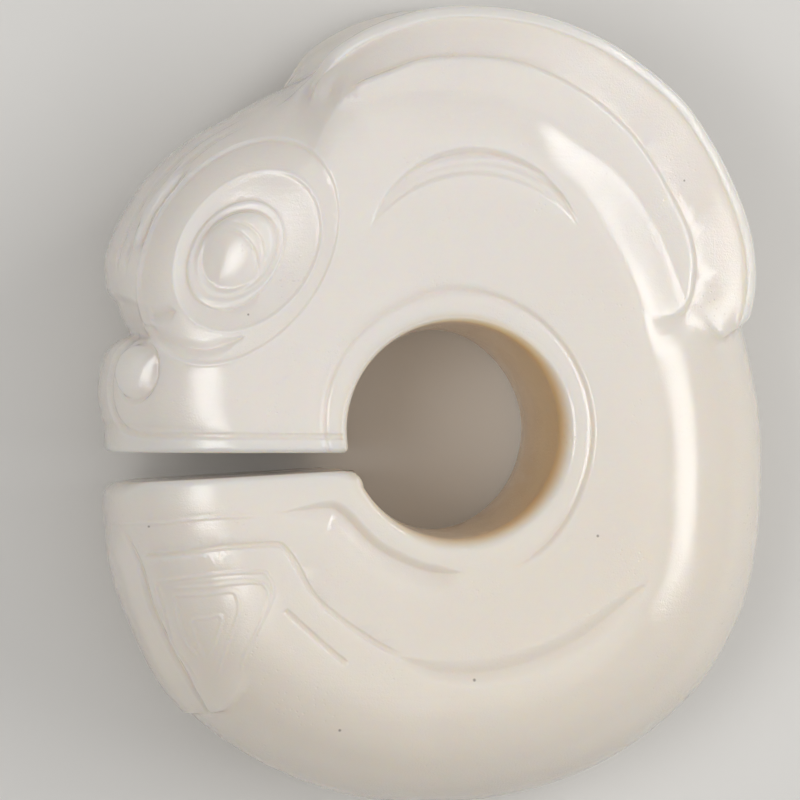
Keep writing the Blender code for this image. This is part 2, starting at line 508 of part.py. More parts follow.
def half_surface(lift):
    """Points of one half, from the waist of the bore over the face to the outline, as a grid of
    sections by steps, and the angle of each section."""
    angle, inner, outer = section_ends()
    half = 0.5 * THICKNESS
    length = np.hypot(*(outer - inner).T)[:, None]
    shoulder = HEIGHT * curve_through(angle, SHOULDER)[:, None]
    power = curve_through(angle, ROLL_POWER)[:, None]

    edge = BORE_EDGE_RADIUS * curve_through(angle, HOLE_EDGE)[:, None]
    wall_top = half - edge
    wall = np.linspace(0.0, 1.0, WALL_STEPS, endpoint=False)[None, :]
    wall_out = BORE_FLARE * wall**2 + 0 * length
    wall_up = wall_top * wall
    turn = np.linspace(0.0, 0.5 * math.pi, EDGE_STEPS, endpoint=False)[None, :]
    edge_out = BORE_FLARE + edge * (1 - np.cos(turn))
    edge_up = wall_top + edge * np.sin(turn)
    face_start = BORE_FLARE + edge

    outline = HEIGHT * curve_through(angle, OUTLINE)[:, None]
    crease_out = HEIGHT * curve_through(angle, EAR_CREASE)[:, None] - (outline - length)
    carries_ear = ease(angle, EAR_TIP[0] - 5, EAR_TIP[0] + 4)
    carries_ear = (carries_ear * (1 - ease(angle, EAR_ROOT[1], EAR_ROOT[0])))[:, None]
    plain_split = length - 0.62 * shoulder
    split = plain_split + (crease_out - plain_split) * carries_ear

    def rolled(out):
        share = np.clip((out - (length - shoulder)) / shoulder, 0.0, 1.0)
        return half * (1 - share**power) ** (1 / power)

    bank = HEIGHT * curve_through(angle, EAR_BANK)[:, None]
    bank_drop = HEIGHT * curve_through(angle, EAR_BANK_DROP)[:, None]
    bank_half = 0.5 * EAR_BANK_WIDTH * HEIGHT

    def lobe(out):
        radius = out + outline - length
        fall = bank_drop * ease(radius, bank - bank_half, bank + bank_half)
        tilt = EAR_LOBE_TILT * ease(radius, bank, bank + bank_half)
        return half - fall - tilt * np.clip(radius - bank, 0.0, None)

    face = np.linspace(0.0, 1.0, FACE_STEPS, endpoint=False)[None, :]
    face_out = face_start + (split - face_start) * face
    ear_face_up = lobe(face_out)
    plain_face_up = rolled(face_out)

    step = np.linspace(0.0, 1.0, OUTER_STEPS)
    split_share = np.clip((split - (length - shoulder)) / shoulder, 0.0, 1.0)
    first_turn = np.arcsin(split_share ** (0.5 * power))
    roll_turn = first_turn + (0.5 * math.pi - first_turn) * step[None, :]
    plain_out = length - shoulder + shoulder * np.sin(roll_turn) ** (2 / power)
    plain_up = half * np.clip(np.cos(roll_turn), 0.0, 1.0) ** (2 / power)

    lift_shown = window(angle, *EAR_LIFT_ENDS)[:, None] * lift * HEIGHT
    rim = HEIGHT * curve_through(angle, EAR_RIM)[:, None] + lift_shown - (outline - length)
    rim_up = half * curve_through(angle, EAR_RIM_HEIGHT)[:, None]
    floor_up = lobe(split)
    width = rim - split
    open_front = 1 - ease(angle, EAR_SCOOP_FRONT[1], EAR_SCOOP_FRONT[0])[:, None]
    lip = EAR_LIP_WIDTH * HEIGHT
    foot_up = rim_up - EAR_LIP_HEIGHT * HEIGHT * (0.2 + 0.8 * open_front)
    ear_out = np.hstack([
        split, split + 0.34 * (width - lip), split + 0.70 * (width - lip),
        rim - lip, rim - 0.84 * lip, rim - 0.55 * lip, rim - 0.28 * lip, rim - 0.08 * lip, rim,
        rim - 0.25 * lip, 0.66 * rim + 0.34 * length, 0.28 * rim + 0.72 * length,
        0.05 * rim + 0.95 * length, length,
    ])
    ear_up = np.hstack([
        floor_up, 0.66 * floor_up + 0.34 * foot_up,
        0.30 * floor_up + 0.70 * foot_up, foot_up, rim_up, rim_up - 0.10 * lip,
        rim_up - 0.21 * lip, rim_up - 0.42 * lip, rim_up - 0.80 * lip, rim_up - 1.6 * lip,
        0.56 * rim_up, 0.38 * rim_up, 0.18 * rim_up, 0 * rim_up,
    ])
    places = np.array([
        0.0, 0.16, 0.30, 0.41, 0.44, 0.47, 0.50, 0.53, 0.57, 0.62, 0.74, 0.84, 0.93, 1.0,
    ])
    ear_outer_out = through_stations(step, places, ear_out)
    ear_outer_up = through_stations(step, places, ear_up)

    notch = HEIGHT * curve_through(angle, BROW_NOTCH)[:, None]
    plain_across = np.hstack([wall_out, edge_out, face_out, plain_out])
    plain_across -= notch * (1 - ease(length - plain_across, 0.0, NOTCH_REACH * HEIGHT)) ** 2
    plain_high = np.hstack([wall_up, edge_up, plain_face_up, plain_up])
    ear_across = np.hstack([wall_out, edge_out, face_out, ear_outer_out])
    ear_high = np.hstack([wall_up, edge_up, ear_face_up, ear_outer_up])
    way = (outer - inner) / length
    plan_x = inner[:, :1] + way[:, :1] * plain_across
    plan_y = inner[:, 1:] + way[:, 1:] * plain_across
    weight = ear_weight(np.degrees(np.arctan2(plan_y, plan_x)), np.hypot(plan_x, plan_y))
    out = plain_across + (ear_across - plain_across) * weight
    up = plain_high + (ear_high - plain_high) * weight
    points = np.stack([inner[:, :1] + way[:, :1] * out, inner[:, 1:] + way[:, 1:] * out, up], axis=2)
    return points, angle


def surface_normals(points):
    """Outward directions on a grid of sections by steps."""
    along = np.gradient(points, axis=0)
    across = np.gradient(points, axis=1)
    normal = np.cross(across, along)
    return -normal / np.maximum(np.linalg.norm(normal, axis=2, keepdims=True), 1e-12)


def carved_half(lift):
    """One half with its carving cut into it."""
    points, angle = half_surface(lift)
    normal = surface_normals(points)
    x, y, up = (points / HEIGHT).transpose(2, 0, 1)
    x = x - VIEW_LEAN * (CARVING_PLANE - up)
    reach = 0.04
    level = points[:, :, 2] / (0.5 * THICKNESS)
    faces = np.arange(points.shape[1]) >= WALL_STEPS + EDGE_STEPS - 1
    relief = eye_relief(x, y) + snout_relief(x, y, reach) + neck_relief(x, y)
    relief += body_relief(x, y, reach) + shield_relief(x, y) + lobe_relief(x, y)
    relief *= ease(level, 0.10, 0.35)
    relief += front_relief(angle[:, None] + 0 * level, x, y, level)
    relief *= faces[None, :] * HEIGHT
    carved = points + normal * relief[:, :, None]
    carved[:, 0, 2] = 0.0
    carved[:, -1, 2] = 0.0
    carved[:, :, 2] = np.clip(carved[:, :, 2], 0.0, 0.5 * THICKNESS)
    return carved


def end_rows(loop, inward_way, corner, steps):
    """Rows that round the edge of an end face and close it over, from the last section in."""
    spread = np.gradient(np.vstack([loop[-1:], loop, loop[:1]]), axis=0)[1:-1]
    flat_way = loop[0] - loop[len(loop) // 2]
    flat_way = flat_way / np.linalg.norm(flat_way)
    up = np.array([0.0, 0.0, 1.0])
    tangent = np.stack([spread @ flat_way, spread[:, 2]], axis=1)
    tangent /= np.maximum(np.linalg.norm(tangent, axis=1, keepdims=True), 1e-12)
    inset_way = np.outer(-tangent[:, 1], flat_way) + np.outer(tangent[:, 0], up)
    if ((loop.mean(axis=0) - loop) * inset_way).sum() < 0:
        inset_way = -inset_way
    rows = []
    deepest = corner.max()
    for turn in np.linspace(0.0, 0.5 * math.pi, steps + 1)[1:]:
        remaining = deepest * (1 - math.sin(turn))
        within = np.clip(corner - remaining, 0.0, None)
        inset = corner - np.sqrt(np.clip(corner**2 - within**2, 0.0, None))
        rows.append(loop + inset_way * inset[:, None] + inward_way * (deepest - remaining))
    return rows


def cap_rows(loop, steps):
    """Rows that shrink an end face onto a line down its middle."""
    first, last = loop[0], loop[len(loop) // 2]
    span = np.linalg.norm(last - first)
    way = (last - first) / span
    margin = 0.42 * span
    place = np.clip((loop - first) @ way, margin, span - margin)
    spine = first + place[:, None] * way
    return [loop + (spine - loop) * share for share in np.linspace(0.0, 1.0, steps + 1)[1:]]


def whole_surface():
    """All rows of the closed surface, from inside the mouth face to inside the tail face."""
    near = carved_half(0.0)
    far = carved_half(EAR_LIFT_FAR)
    far[:, 0], far[:, -1] = near[:, 0], near[:, -1]
    far = far * np.array([1.0, 1.0, -1.0])
    loops = np.concatenate([near, far[:, -2:0:-1]], axis=1)
    down = np.array([0.0, -1.0, 0.0])
    slope = math.atan2(SLIT_AT_FRONT - SLIT_AT_HOLE, MUZZLE_REACH * HEIGHT - 0.5 * HOLE_DIAMETER)
    tail_up = np.array([-math.sin(slope), math.cos(slope), 0.0])
    mouth_corner = np.full(len(loops[0]), LIP_EDGE_RADIUS)
    from_hole = np.hypot(loops[-1][:, 0], loops[-1][:, 1]) - 0.5 * HOLE_DIAMETER
    from_front = from_hole.max() - from_hole
    from_end = np.minimum(from_hole, from_front)
    at_end = 1 - ease(from_end, 0.2 * TAIL_CORNER_RADIUS, 2.0 * TAIL_CORNER_RADIUS)
    tail_corner = LIP_EDGE_RADIUS + (TAIL_CORNER_RADIUS - LIP_EDGE_RADIUS) * at_end
    mouth = end_rows(loops[0], down, mouth_corner, END_STEPS)
    mouth += cap_rows(mouth[-1], CAP_STEPS)
    tail = end_rows(loops[-1], tail_up, tail_corner, END_STEPS)
    tail += cap_rows(tail[-1], CAP_STEPS)
    return np.stack(mouth[::-1] + list(loops) + tail)


def make_pendant(collection, material):
    """Rolls a grid into the closed surface, seals it and thins it."""
    rows = whole_surface()
    low, high = rows.reshape(-1, 3).min(axis=0), rows.reshape(-1, 3).max(axis=0)
    rows = rows - np.array([0.5 * (low[0] + high[0]), 0.5 * (low[1] + high[1]), low[2]])
    row_count, column_count = rows.shape[:2]
    mesh = bpy.data.meshes.new("pig_dragon")
    shape = bmesh.new()
    bmesh.ops.create_grid(shape, x_segments=column_count, y_segments=row_count - 1, size=1.0)
    shape.verts.ensure_lookup_table()
    wrapped = np.concatenate([rows, rows[:, :1]], axis=1).reshape(-1, 3)
    for vertex, place in zip(shape.verts, wrapped):
        vertex.co = place
    bmesh.ops.remove_doubles(shape, verts=shape.verts, dist=1e-7)
    bmesh.ops.recalc_face_normals(shape, faces=shape.faces)
    shape.to_mesh(mesh)
    shape.free()
    mesh.materials.append(material)
    pendant = bpy.data.objects.new("pig_dragon", mesh)
    collection.objects.link(pendant)
    thin = pendant.modifiers.new("Thin to the form", "DECIMATE")
    thin.ratio = FACE_BUDGET / (2 * len(mesh.polygons))
    mesh.shade_smooth()
    return pendant


def jade():
    """Pale nephrite with a waxy polish."""
    material = bpy.data.materials.new("Pale nephrite")
    material.use_nodes = True
    shader = material.node_tree.nodes["Principled BSDF"]
    shader.inputs["Base Color"].default_value = JADE_COLOUR
    shader.inputs["Roughness"].default_value = JADE_ROUGHNESS
    shader.inputs["Metallic"].default_value = 0.0
    return material


def clear_scene():
    for leftover in list(bpy.data.objects):
        bpy.data.objects.remove(leftover, do_unlink=True)


def main():
    clear_scene()
    collection = bpy.data.collections.new("Jade pig dragon")
    bpy.context.scene.collection.children.link(collection)
    make_pendant(collection, jade())


main()
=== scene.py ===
"""Jade pig dragon pendant: the carved and polished stone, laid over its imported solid.

The pendant lies on its far face and the camera looks down on it. +X runs from the snout to the
back and +Y from the belly to the ears.
"""

import math
from functools import partial

import bpy
import numpy as np
from bpy.props import FloatProperty, FloatVectorProperty, IntProperty, PointerProperty
from mathutils import Matrix, Vector
from mathutils.kdtree import KDTree


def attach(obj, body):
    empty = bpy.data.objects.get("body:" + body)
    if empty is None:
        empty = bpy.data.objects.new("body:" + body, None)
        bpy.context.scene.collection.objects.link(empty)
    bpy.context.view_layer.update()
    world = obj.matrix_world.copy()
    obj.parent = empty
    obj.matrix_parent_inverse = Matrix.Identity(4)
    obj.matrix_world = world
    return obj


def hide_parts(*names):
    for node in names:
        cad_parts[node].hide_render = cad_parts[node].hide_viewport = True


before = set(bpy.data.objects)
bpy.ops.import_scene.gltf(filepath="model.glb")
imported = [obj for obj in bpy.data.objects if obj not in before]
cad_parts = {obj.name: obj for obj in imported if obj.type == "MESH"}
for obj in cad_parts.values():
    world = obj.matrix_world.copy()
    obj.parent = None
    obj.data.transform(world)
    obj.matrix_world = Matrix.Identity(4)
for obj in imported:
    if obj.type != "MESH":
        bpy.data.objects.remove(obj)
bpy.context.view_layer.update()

bl_info = {
    "name": "Jade pig dragon",
    "version": (1, 0, 0),
    "blender": (4, 5, 0),
    "location": "View3D > Sidebar > Pendant",
    "description": "Carves and polishes a nephrite pig dragon pendant and sets its studio",
    "category": "Object",
}

# Free form, as shares of the height. Angles are degrees round the hole from +X, and the ring
# runs from the mouth, a little past 180, clockwise over the head, the back and the belly to the
# tail at about -170. Tables of pairs are (angle, value) unless a comment says otherwise.

# How much of the bore edge's rounding each angle gets
HOLE_EDGE = (
    (-172, 0.60), (-120, 0.90), (-70.0, 1.50), (-30.0, 1.90), (10.0, 1.80), (45.0, 1.10),
    (80, 0.60), (120, 0.45), (186, 0.45),
)
MOUTH_LEVEL = -0.0282
FRONT_RADIUS = 0.42
# Carving is drawn as it looks from 8 degrees towards the snout, on a plane this far up
VIEW_LEAN = 0.14
CARVING_PLANE = 0.167

# Distance of the outline from the middle of the hole
OUTLINE = (
    (-172, 0.4185), (-170.3, 0.4226), (-166.6, 0.4300), (-162, 0.4345), (-154, 0.4435),
    (-147.7, 0.4506), (-140.5, 0.4622), (-134.8, 0.4694), (-128.6, 0.4712), (-116, 0.4720),
    (-102, 0.4722), (-86, 0.4685), (-65, 0.4700), (-45.3, 0.4665), (-36.7, 0.4586),
    (-30, 0.4510), (-23.6, 0.4405), (-8.7, 0.4196), (0, 0.4140), (12.8, 0.4091),
    (20, 0.4110), (40, 0.4340), (60, 0.4600), (80, 0.4740), (100, 0.4740),
    (114.3, 0.4692), (122.6, 0.4701), (130.4, 0.4783), (138.5, 0.4816), (146.6, 0.4769),
    (152, 0.4692), (155.8, 0.4590), (160, 0.4470), (164, 0.4380), (168, 0.4315),
    (172, 0.4280), (174, 0.4262), (178.3, 0.4190), (179.4, 0.4160), (181.4, 0.4171),
    (186, 0.4161),
)
# How far the outline steps in between the brow and the nose
BROW_NOTCH = (
    (153, 0.0), (155.8, 0.0048), (157.1, 0.0075), (158.3, 0.0200), (159.8, 0.0265),
    (161.1, 0.0330), (162.4, 0.0390), (164, 0.0250), (166, 0.0110), (168.5, 0.0035), (172, 0.0),
)
NOTCH_REACH = 0.092
# Width of the rolled edge, and the power of its curve: 2 is a circle, more is squarer
SHOULDER = (
    (-172, 0.160), (-160, 0.185), (-150, 0.200), (-125, 0.185), (-100, 0.170),
    (-60, 0.180), (-30, 0.195), (0, 0.200), (22, 0.200), (60, 0.150), (110, 0.150),
    (135, 0.180), (160, 0.198), (186, 0.198),
)
ROLL_POWER = (
    (-172.0, 2.4), (-140.0, 2.2), (-100.0, 2.25), (-40.0, 2.15), (20.0, 2.15), (60.0, 2.25),
    (110.0, 2.25), (145.0, 2.2), (160.0, 2.3), (186.0, 2.3),
)

# The ear: a lobe, a crease, a scoop behind it and a raised rim round the scoop
EAR_ROOT = (121.0, 106.0)
EAR_TIP = (16.6, 17.7)
EAR_TIP_SWEEP = 44.0
EAR_TIP_RADIUS = 0.340
EAR_TIP_MELT = 11.0
EAR_CREASE = (
    (14, 0.318), (22, 0.322), (26, 0.328), (31, 0.343), (34, 0.359), (38.1, 0.374),
    (48, 0.397), (58.7, 0.424), (69.5, 0.445), (82.6, 0.4580),
    (90.6, 0.4565), (94.5, 0.4554), (97, 0.4514), (100.3, 0.4453), (103.8, 0.4407), (107.4, 0.4358),
    (121, 0.4290),
)
EAR_RIM = (
    (12, 0.397), (18.5, 0.399), (20.8, 0.4095), (24, 0.4248), (27.6, 0.4392), (31.5, 0.4519),
    (36.7, 0.4654), (42.4, 0.4784), (48.8, 0.4942), (54.5, 0.5074), (60, 0.5150),
    (70.4, 0.5263), (79.1, 0.5296), (89.1, 0.5270), (99, 0.5136), (106, 0.4958),
    (111.8, 0.4736), (116, 0.4560), (121, 0.4400),
)
EAR_SCOOP_FRONT = (108.4, 104.6)
# Shares of the half thickness
EAR_RIM_HEIGHT = (
    (12, 0.730), (24, 0.748), (29, 0.736), (33, 0.736), (36, 0.740), (40, 0.745),
    (47, 0.752), (60, 0.750), (72, 0.776), (80, 0.780), (90, 0.775), (110, 0.670),
    (121, 0.600),
)
# The slope from the head down to the lobe: where its middle runs, how wide and how deep it is
EAR_BANK = (
    (14, 0.292), (27, 0.298), (33, 0.306), (41, 0.318), (49, 0.332), (57, 0.346),
    (66, 0.356), (75, 0.372), (90, 0.385), (121, 0.385),
)
EAR_BANK_WIDTH = 0.075
EAR_BANK_DROP = (
    (12, 0.0200), (22, 0.0230), (27, 0.0255), (38, 0.0270), (55, 0.0265), (65, 0.0240),
    (75, 0.0205), (90, 0.0170), (104, 0.0145), (108, 0.0110), (121, 0.0090),
)
EAR_LOBE_TILT = 0.10
EAR_STEP = 0.0065
EAR_STEP_WIDTH = 0.0085
EAR_STEP_REACH = 0.14
# Points (x, y) from here on are places on the carving plane
EAR_LOBE_END = (
    (0.2960, 0.1885), (0.2950, 0.1770), (0.2905, 0.1620), (0.2835, 0.1500), (0.2740, 0.1440),
    (0.2620, 0.1430), (0.2490, 0.1460), (0.2350, 0.1520), (0.2150, 0.1600), (0.1950, 0.1680),
)
EAR_LIP_HEIGHT = 0.0034
EAR_LIP_WIDTH = 0.0170
EAR_LIFT_FAR = 0.0115
EAR_LIFT_ENDS = (80.0, 94.0, 111.0, 119.0)

# The eye: ellipses as (middle, (long radius, short radius), tilt in degrees)
EYE_BROW = ((-0.2674, 0.2204), (0.1539, 0.1093), 54.0)
EYE_SOCKET = ((-0.2570, 0.2210), (0.1097, 0.0823), 52.0)
EYE_BALL = ((-0.2733, 0.2174), (0.0752, 0.0570), 54.6)
EYE_RING = ((-0.2715, 0.2194), (0.0607, 0.0481), 45.3)
EYE_LEVELS = (0.0015, 0.0045, 0.0145)
EYE_RIDGE = 0.0013
EYE_RIDGE_WIDTH = 0.0032
BROW_CUT = 0.0022
BROW_FOLD = (
    (-0.3309, 0.3371), (-0.3520, 0.3124), (-0.3680, 0.2927), (-0.3828, 0.2717), (-0.3914, 0.2507),
    (-0.3976, 0.2322), (-0.4013, 0.2136),
)
BROW_FOLD_BEAD = (0.0100, 0.0045)
# Half width and depth of the cut beside the fold, and how far to the lower right it lies
BROW_FOLD_CUT = (0.0060, 0.0050)
BROW_FOLD_CUT_SHIFT = (0.0048, -0.0035)
EYE_BALL_STEP = 0.0030
EYE_BALL_RISE = 0.0060
EYE_BALL_TILT = (0.10, 0.14)
# Arcs as (middle, radius, (first angle, last angle))
EYE_FOLDS = (((-0.2777, 0.2151), 0.0419, (-8.0, 84.0)), ((-0.2913, 0.2004), 0.0479, (-8.0, 80.0)))
# Fixed scores as (width, depth, softness of the lips)
EYE_FOLD_SCORE = (0.0040, 0.0016, 0.0015)
NOSTRIL_SCORE = (0.0040, 0.0022, 0.0010)
CHEST_SCORE = (0.0056, 0.0045, 0.0026)
BROW_SCORE = (0.0050, 0.0022, 0.0018)

NOSTRIL = ((-0.3928, 0.0714), (0.0350, 0.0225), 77.0)
NOSTRIL_RISE = 0.0038
NOSTRIL_TILT = (0.58, 0.12)
SNOUT_LINE = (
    (-0.398, 0.116), (-0.423, 0.090), (-0.431, 0.048), (-0.420, 0.011), (-0.392, -0.005),
    (-0.317, -0.007), (-0.138, -0.008),
)
CHEEK_LINE = ((-0.390, 0.133), (-0.372, 0.120), (-0.348, 0.105), (-0.304, 0.100), (-0.255, 0.117))
CHEEK_CREASE = ((-0.380, 0.137), (-0.366, 0.142), (-0.346, 0.147))
EYE_LID = ((-0.290, 0.145), (-0.261, 0.154), (-0.237, 0.172))

# The crescent on the neck, between two circles as (middle, radius)
NECK_OUTER = ((0.0262, 0.2155), 0.1345)
NECK_INNER = ((0.0262, 0.1480), 0.1640)
NECK_HOLLOW_DEPTH = 0.0075
NECK_FOLD = (
    (-0.060, 0.306), (-0.028, 0.325), (0.020, 0.334), (0.066, 0.331), (0.107, 0.314), (0.147, 0.286),
)
NECK_FOLD_BEAD = (0.0080, 0.0016)
BELLY_HOLLOW = ((-0.069, -0.281), (-0.010, -0.299), (0.060, -0.296), (0.150, -0.262), (0.240, -0.192))
BELLY_HOLLOW_WIDTH = 0.046
BELLY_HOLLOW_DEPTH = 0.0060
EAR_FRONT = ((-0.142, 0.462), (-0.151, 0.450), (-0.164, 0.430), (-0.169, 0.412), (-0.177, 0.395))
EAR_FRONT_WIDTH = 0.024
EAR_FRONT_RISE = 0.0050
TAIL_CUTS = (
    ((-0.385, -0.155), (-0.346, -0.152), (-0.292, -0.144), (-0.262, -0.142), (-0.222, -0.140),
     (-0.210, -0.146), (-0.198, -0.162), (-0.169, -0.209), (-0.107, -0.256), (-0.060, -0.281)),
    ((-0.210, -0.221), (-0.169, -0.258), (-0.131, -0.290)),
)
TAIL_BEADS = (
    ((-0.430, -0.116), (-0.389, -0.115), (-0.363, -0.114), (-0.311, -0.108), (-0.235, -0.105)),
    ((-0.373, -0.186), (-0.346, -0.183), (-0.287, -0.176), (-0.240, -0.174), (-0.231, -0.180),
     (-0.224, -0.195), (-0.228, -0.212), (-0.243, -0.245), (-0.256, -0.270)),
    ((-0.350, -0.195), (-0.311, -0.192), (-0.272, -0.188), (-0.243, -0.187), (-0.234, -0.193),
     (-0.230, -0.206), (-0.237, -0.226), (-0.247, -0.250), (-0.262, -0.282), (-0.266, -0.306)),
    ((-0.373, -0.191), (-0.365, -0.215), (-0.358, -0.245), (-0.351, -0.269), (-0.336, -0.289),
     (-0.316, -0.320)),
    ((-0.350, -0.204), (-0.311, -0.202), (-0.278, -0.198), (-0.269, -0.206), (-0.268, -0.225),
     (-0.282, -0.265), (-0.292, -0.294), (-0.300, -0.314)),
    ((-0.350, -0.204), (-0.347, -0.215), (-0.341, -0.240), (-0.331, -0.264), (-0.314, -0.286)),
    ((-0.311, -0.284), (-0.322, -0.255), (-0.326, -0.235), (-0.307, -0.231), (-0.289, -0.230),
     (-0.299, -0.264), (-0.311, -0.284)),
)
TAIL_BEAD_WIDTH = 0.0050
TAIL_BEAD_HEIGHT = 0.0008
# The collar round the hole: width past the bore, and how gently its outer bank falls
RING_MIDDLE = (-0.0040, -0.0030)
RING_WIDTH = (
    (-70, 0.0510), (-48, 0.0480), (-17, 0.0420), (54, 0.0430), (90, 0.0415),
    (114, 0.0350), (144, 0.0310), (177, 0.0230), (192, 0.0190),
)
RING_FADE = (-74.0, -42.0, 186.0, 192.0)
RING_DEPTH = 0.0046
COLLAR_CROWN = 0.0018
RING_BANK = (
    (-70, 0.008), (60, 0.009), (100, 0.020), (150, 0.028), (192, 0.026),
)
COLLAR_TROUGH = (
    (-0.236, -0.104), (-0.162, -0.096), (-0.138, -0.104), (-0.094, -0.146), (-0.032, -0.174),
    (0.022, -0.177),
)
# Half widths on the side of the hole and on the far side
COLLAR_TROUGH_WIDTHS = (0.012, 0.034)
COLLAR_TROUGH_DEPTH = 0.0085

# The chest's edges, as (y, x) pairs
CHEST_BAND_RISE = 0.0050
CHEST_EDGE = (
    (-0.360, -0.306), (-0.340, -0.314), (-0.323, -0.326), (-0.299, -0.341), (-0.272, -0.356),
    (-0.242, -0.370), (-0.210, -0.383), (-0.178, -0.391), (-0.154, -0.400), (-0.134, -0.410),
    (-0.124, -0.415), (-0.105, -0.424),
)
CHEST_BAND_ENDS = (-0.3545, -0.3500, -0.1700, -0.1150)
SHIELD_RISE = 0.0060
SHIELD_LEFT = (
    (-0.3495, -0.292), (-0.3475, -0.304), (-0.340, -0.311), (-0.323, -0.323), (-0.299, -0.338),
    (-0.272, -0.353), (-0.242, -0.367), (-0.210, -0.380),
)
SHIELD_RIGHT = (
    (-0.3495, -0.290), (-0.345, -0.279), (-0.337, -0.271), (-0.319, -0.256), (-0.300, -0.252),
    (-0.282, -0.252), (-0.250, -0.244), (-0.226, -0.234),
)
SHIELD_FADE = (-0.345, -0.290)
# Two lines along the side of the brow, as shares of the half thickness, and the angles they span
BROW_LINES = (0.50, 0.37)
BROW_LINE_ENDS = (122.0, 130.0, 150.0, 155.0)

# Widest reach of a fine line's effect
LINE_REACH = 0.04

# Small dark grains in the stone, as (x, y) from the middle of the hole, with a radius in millimetres
FLECKS = (
    ((-0.3737, -0.1188), 0.06), ((-0.2550, 0.1420), 0.06), ((-0.1400, -0.3701), 0.08),
    ((0.0248, -0.3083), 0.09), ((0.1786, -0.1310), 0.08), ((0.2948, 0.3103), 0.06),
)

# Lights, as name, azimuth and elevation in degrees, width, height and distance in metres, and the
# studio value with their power
SOFTBOXES = (
    ("left_softbox", -28, -4, 0.16, 0.18, 0.45, "left_box"),
    ("right_softbox", 45, 11, 0.12, 0.46, 0.45, "right_box"),
    ("top_softbox", 0, 0, 1.2, 1.2, 1.0, "top_box"),
    ("left_fill", -70, 0, 0.5, 0.5, 0.6, "left_fill"),
)


def linear(code):
    """The linear colour of an sRGB hex code."""
    parts = [int(code[i : i + 2], 16) / 255 for i in (0, 2, 4)]
    return tuple(p / 12.92 if p <= 0.04045 else ((p + 0.055) / 1.055) ** 2.4 for p in parts)


class PendantSizes(bpy.types.PropertyGroup):
    """Sizes of the carved stone"""

    height: FloatProperty(
        name="Height", description="From the belly to the top of the ears", default=0.055, unit="LENGTH"
    )
    thickness: FloatProperty(
        name="Thickness", description="Between the two faces", default=0.019, unit="LENGTH"
    )
    hole: FloatProperty(
        name="Hole", description="Diameter at the waist of the bore", default=0.0138, unit="LENGTH"
    )
    flare: FloatProperty(
        name="Bore flare", description="How far the bore widens to each face", default=0.00045, unit="LENGTH"
    )
    hole_edge: FloatProperty(
        name="Bore edge", description="Rounding between bore and face", default=0.0009, unit="LENGTH"
    )
    slit_inner: FloatProperty(
        name="Slit at the hole", description="Gap under the muzzle", default=0.0011, unit="LENGTH"
    )
    slit_outer: FloatProperty(
        name="Slit at the lips", description="The same gap at the front", default=0.0020, unit="LENGTH"
    )
    lip_edge: FloatProperty(
        name="Lip edge", description="Rounding round the two end faces", default=0.0004, unit="LENGTH"
    )
    tail_corner: FloatProperty(
        name="Tail corner", description="Rounding at the ends of the tail's face", default=0.0012,
        unit="LENGTH",
    )
    line_width: FloatProperty(
        name="Line width", description="Width of an engraved line", default=0.00036, unit="LENGTH"
    )
    line_depth: FloatProperty(
        name="Line depth", description="Depth of an engraved line", default=0.00014, unit="LENGTH"
    )
    line_softness: FloatProperty(
        name="Line softness", description="How far polish has rounded a line's lip", default=0.00007,
        unit="LENGTH",
    )
    unevenness: FloatProperty(
        name="Unevenness", description="Swell left in the faces by hand polishing", default=0.000018,
        unit="LENGTH",
    )
    triangles: IntProperty(
        name="Triangles", description="Most triangles in the finished stone", default=196000
    )


class StoneColours(bpy.types.PropertyGroup):
    """Colours of the stone, and the painted shade and glow of its bore"""

    milk: FloatVectorProperty(
        name="Milk", description="Cool white of the head and ears", subtype="COLOR", default=linear("F3ECE5")
    )
    cream: FloatVectorProperty(
        name="Cream", description="Warm white of the back and belly", subtype="COLOR",
        default=linear("F1E8DC"),
    )
    # Honey-brown painted on the bore's wall: painted shade in the bore and a painted glow of light through
    # the stone
    bore_shade_and_glow: FloatVectorProperty(
        name="Honey", description="Tint of the bore", subtype="COLOR", default=linear("E4C28A")
    )
    fleck: FloatVectorProperty(
        name="Fleck", description="Dark grains", subtype="COLOR", default=linear("6A5A48")
    )
    polish: FloatProperty(
        name="Polish", description="Roughness of the polished faces", default=0.10, subtype="FACTOR"
    )


class StudioLight(bpy.types.PropertyGroup):
    """Strengths of the studio lights"""

    left_box: FloatProperty(name="Left softbox", description="Power", default=0.40, unit="POWER")
    right_box: FloatProperty(name="Right softbox", description="Power", default=0.9, unit="POWER")
    left_fill: FloatProperty(name="Left fill", description="Power", default=0.25, unit="POWER")
    top_box: FloatProperty(name="Overhead softbox", description="Power", default=3.7, unit="POWER")
    sky: FloatProperty(name="Room", description="Brightness of the room", default=0.11)
    floor: FloatVectorProperty(
        name="Floor", description="Colour of the floor", subtype="COLOR", default=linear("E4E2DE")
    )


def cubic(low, high, low_slope, high_slope, gap, step):
    """The cubic between two values with a slope at each, at a share of the gap between them."""
    return (
        low * (1 + 2 * step) * (1 - step) ** 2
        + gap * low_slope * step * (1 - step) ** 2
        + high * step**2 * (3 - 2 * step)
        + gap * high_slope * step**2 * (step - 1)
    )


def curve_through(at, knots):
    """A smooth curve that passes every (place, value) knot and never overshoots one."""
    place, value = np.array(knots, dtype=float).T
    gap = np.diff(place)
    rise = np.diff(value) / gap
    slope = np.zeros(len(place))
    same_way = rise[:-1] * rise[1:] > 0
    left = 2 * gap[1:] + gap[:-1]
    right = gap[1:] + 2 * gap[:-1]
    safe = np.where(same_way, rise[:-1], 1.0), np.where(same_way, rise[1:], 1.0)
    slope[1:-1] = np.where(same_way, (left + right) / (left / safe[0] + right / safe[1]), 0.0)
    slope[0], slope[-1] = rise[0], rise[-1]
    at = np.clip(at, place[0], place[-1])
    span = np.clip(np.searchsorted(place, at, side="right") - 1, 0, len(gap) - 1)
    step = (at - place[span]) / gap[span]
    return cubic(value[span], value[span + 1], slope[span], slope[span + 1], gap[span], step)


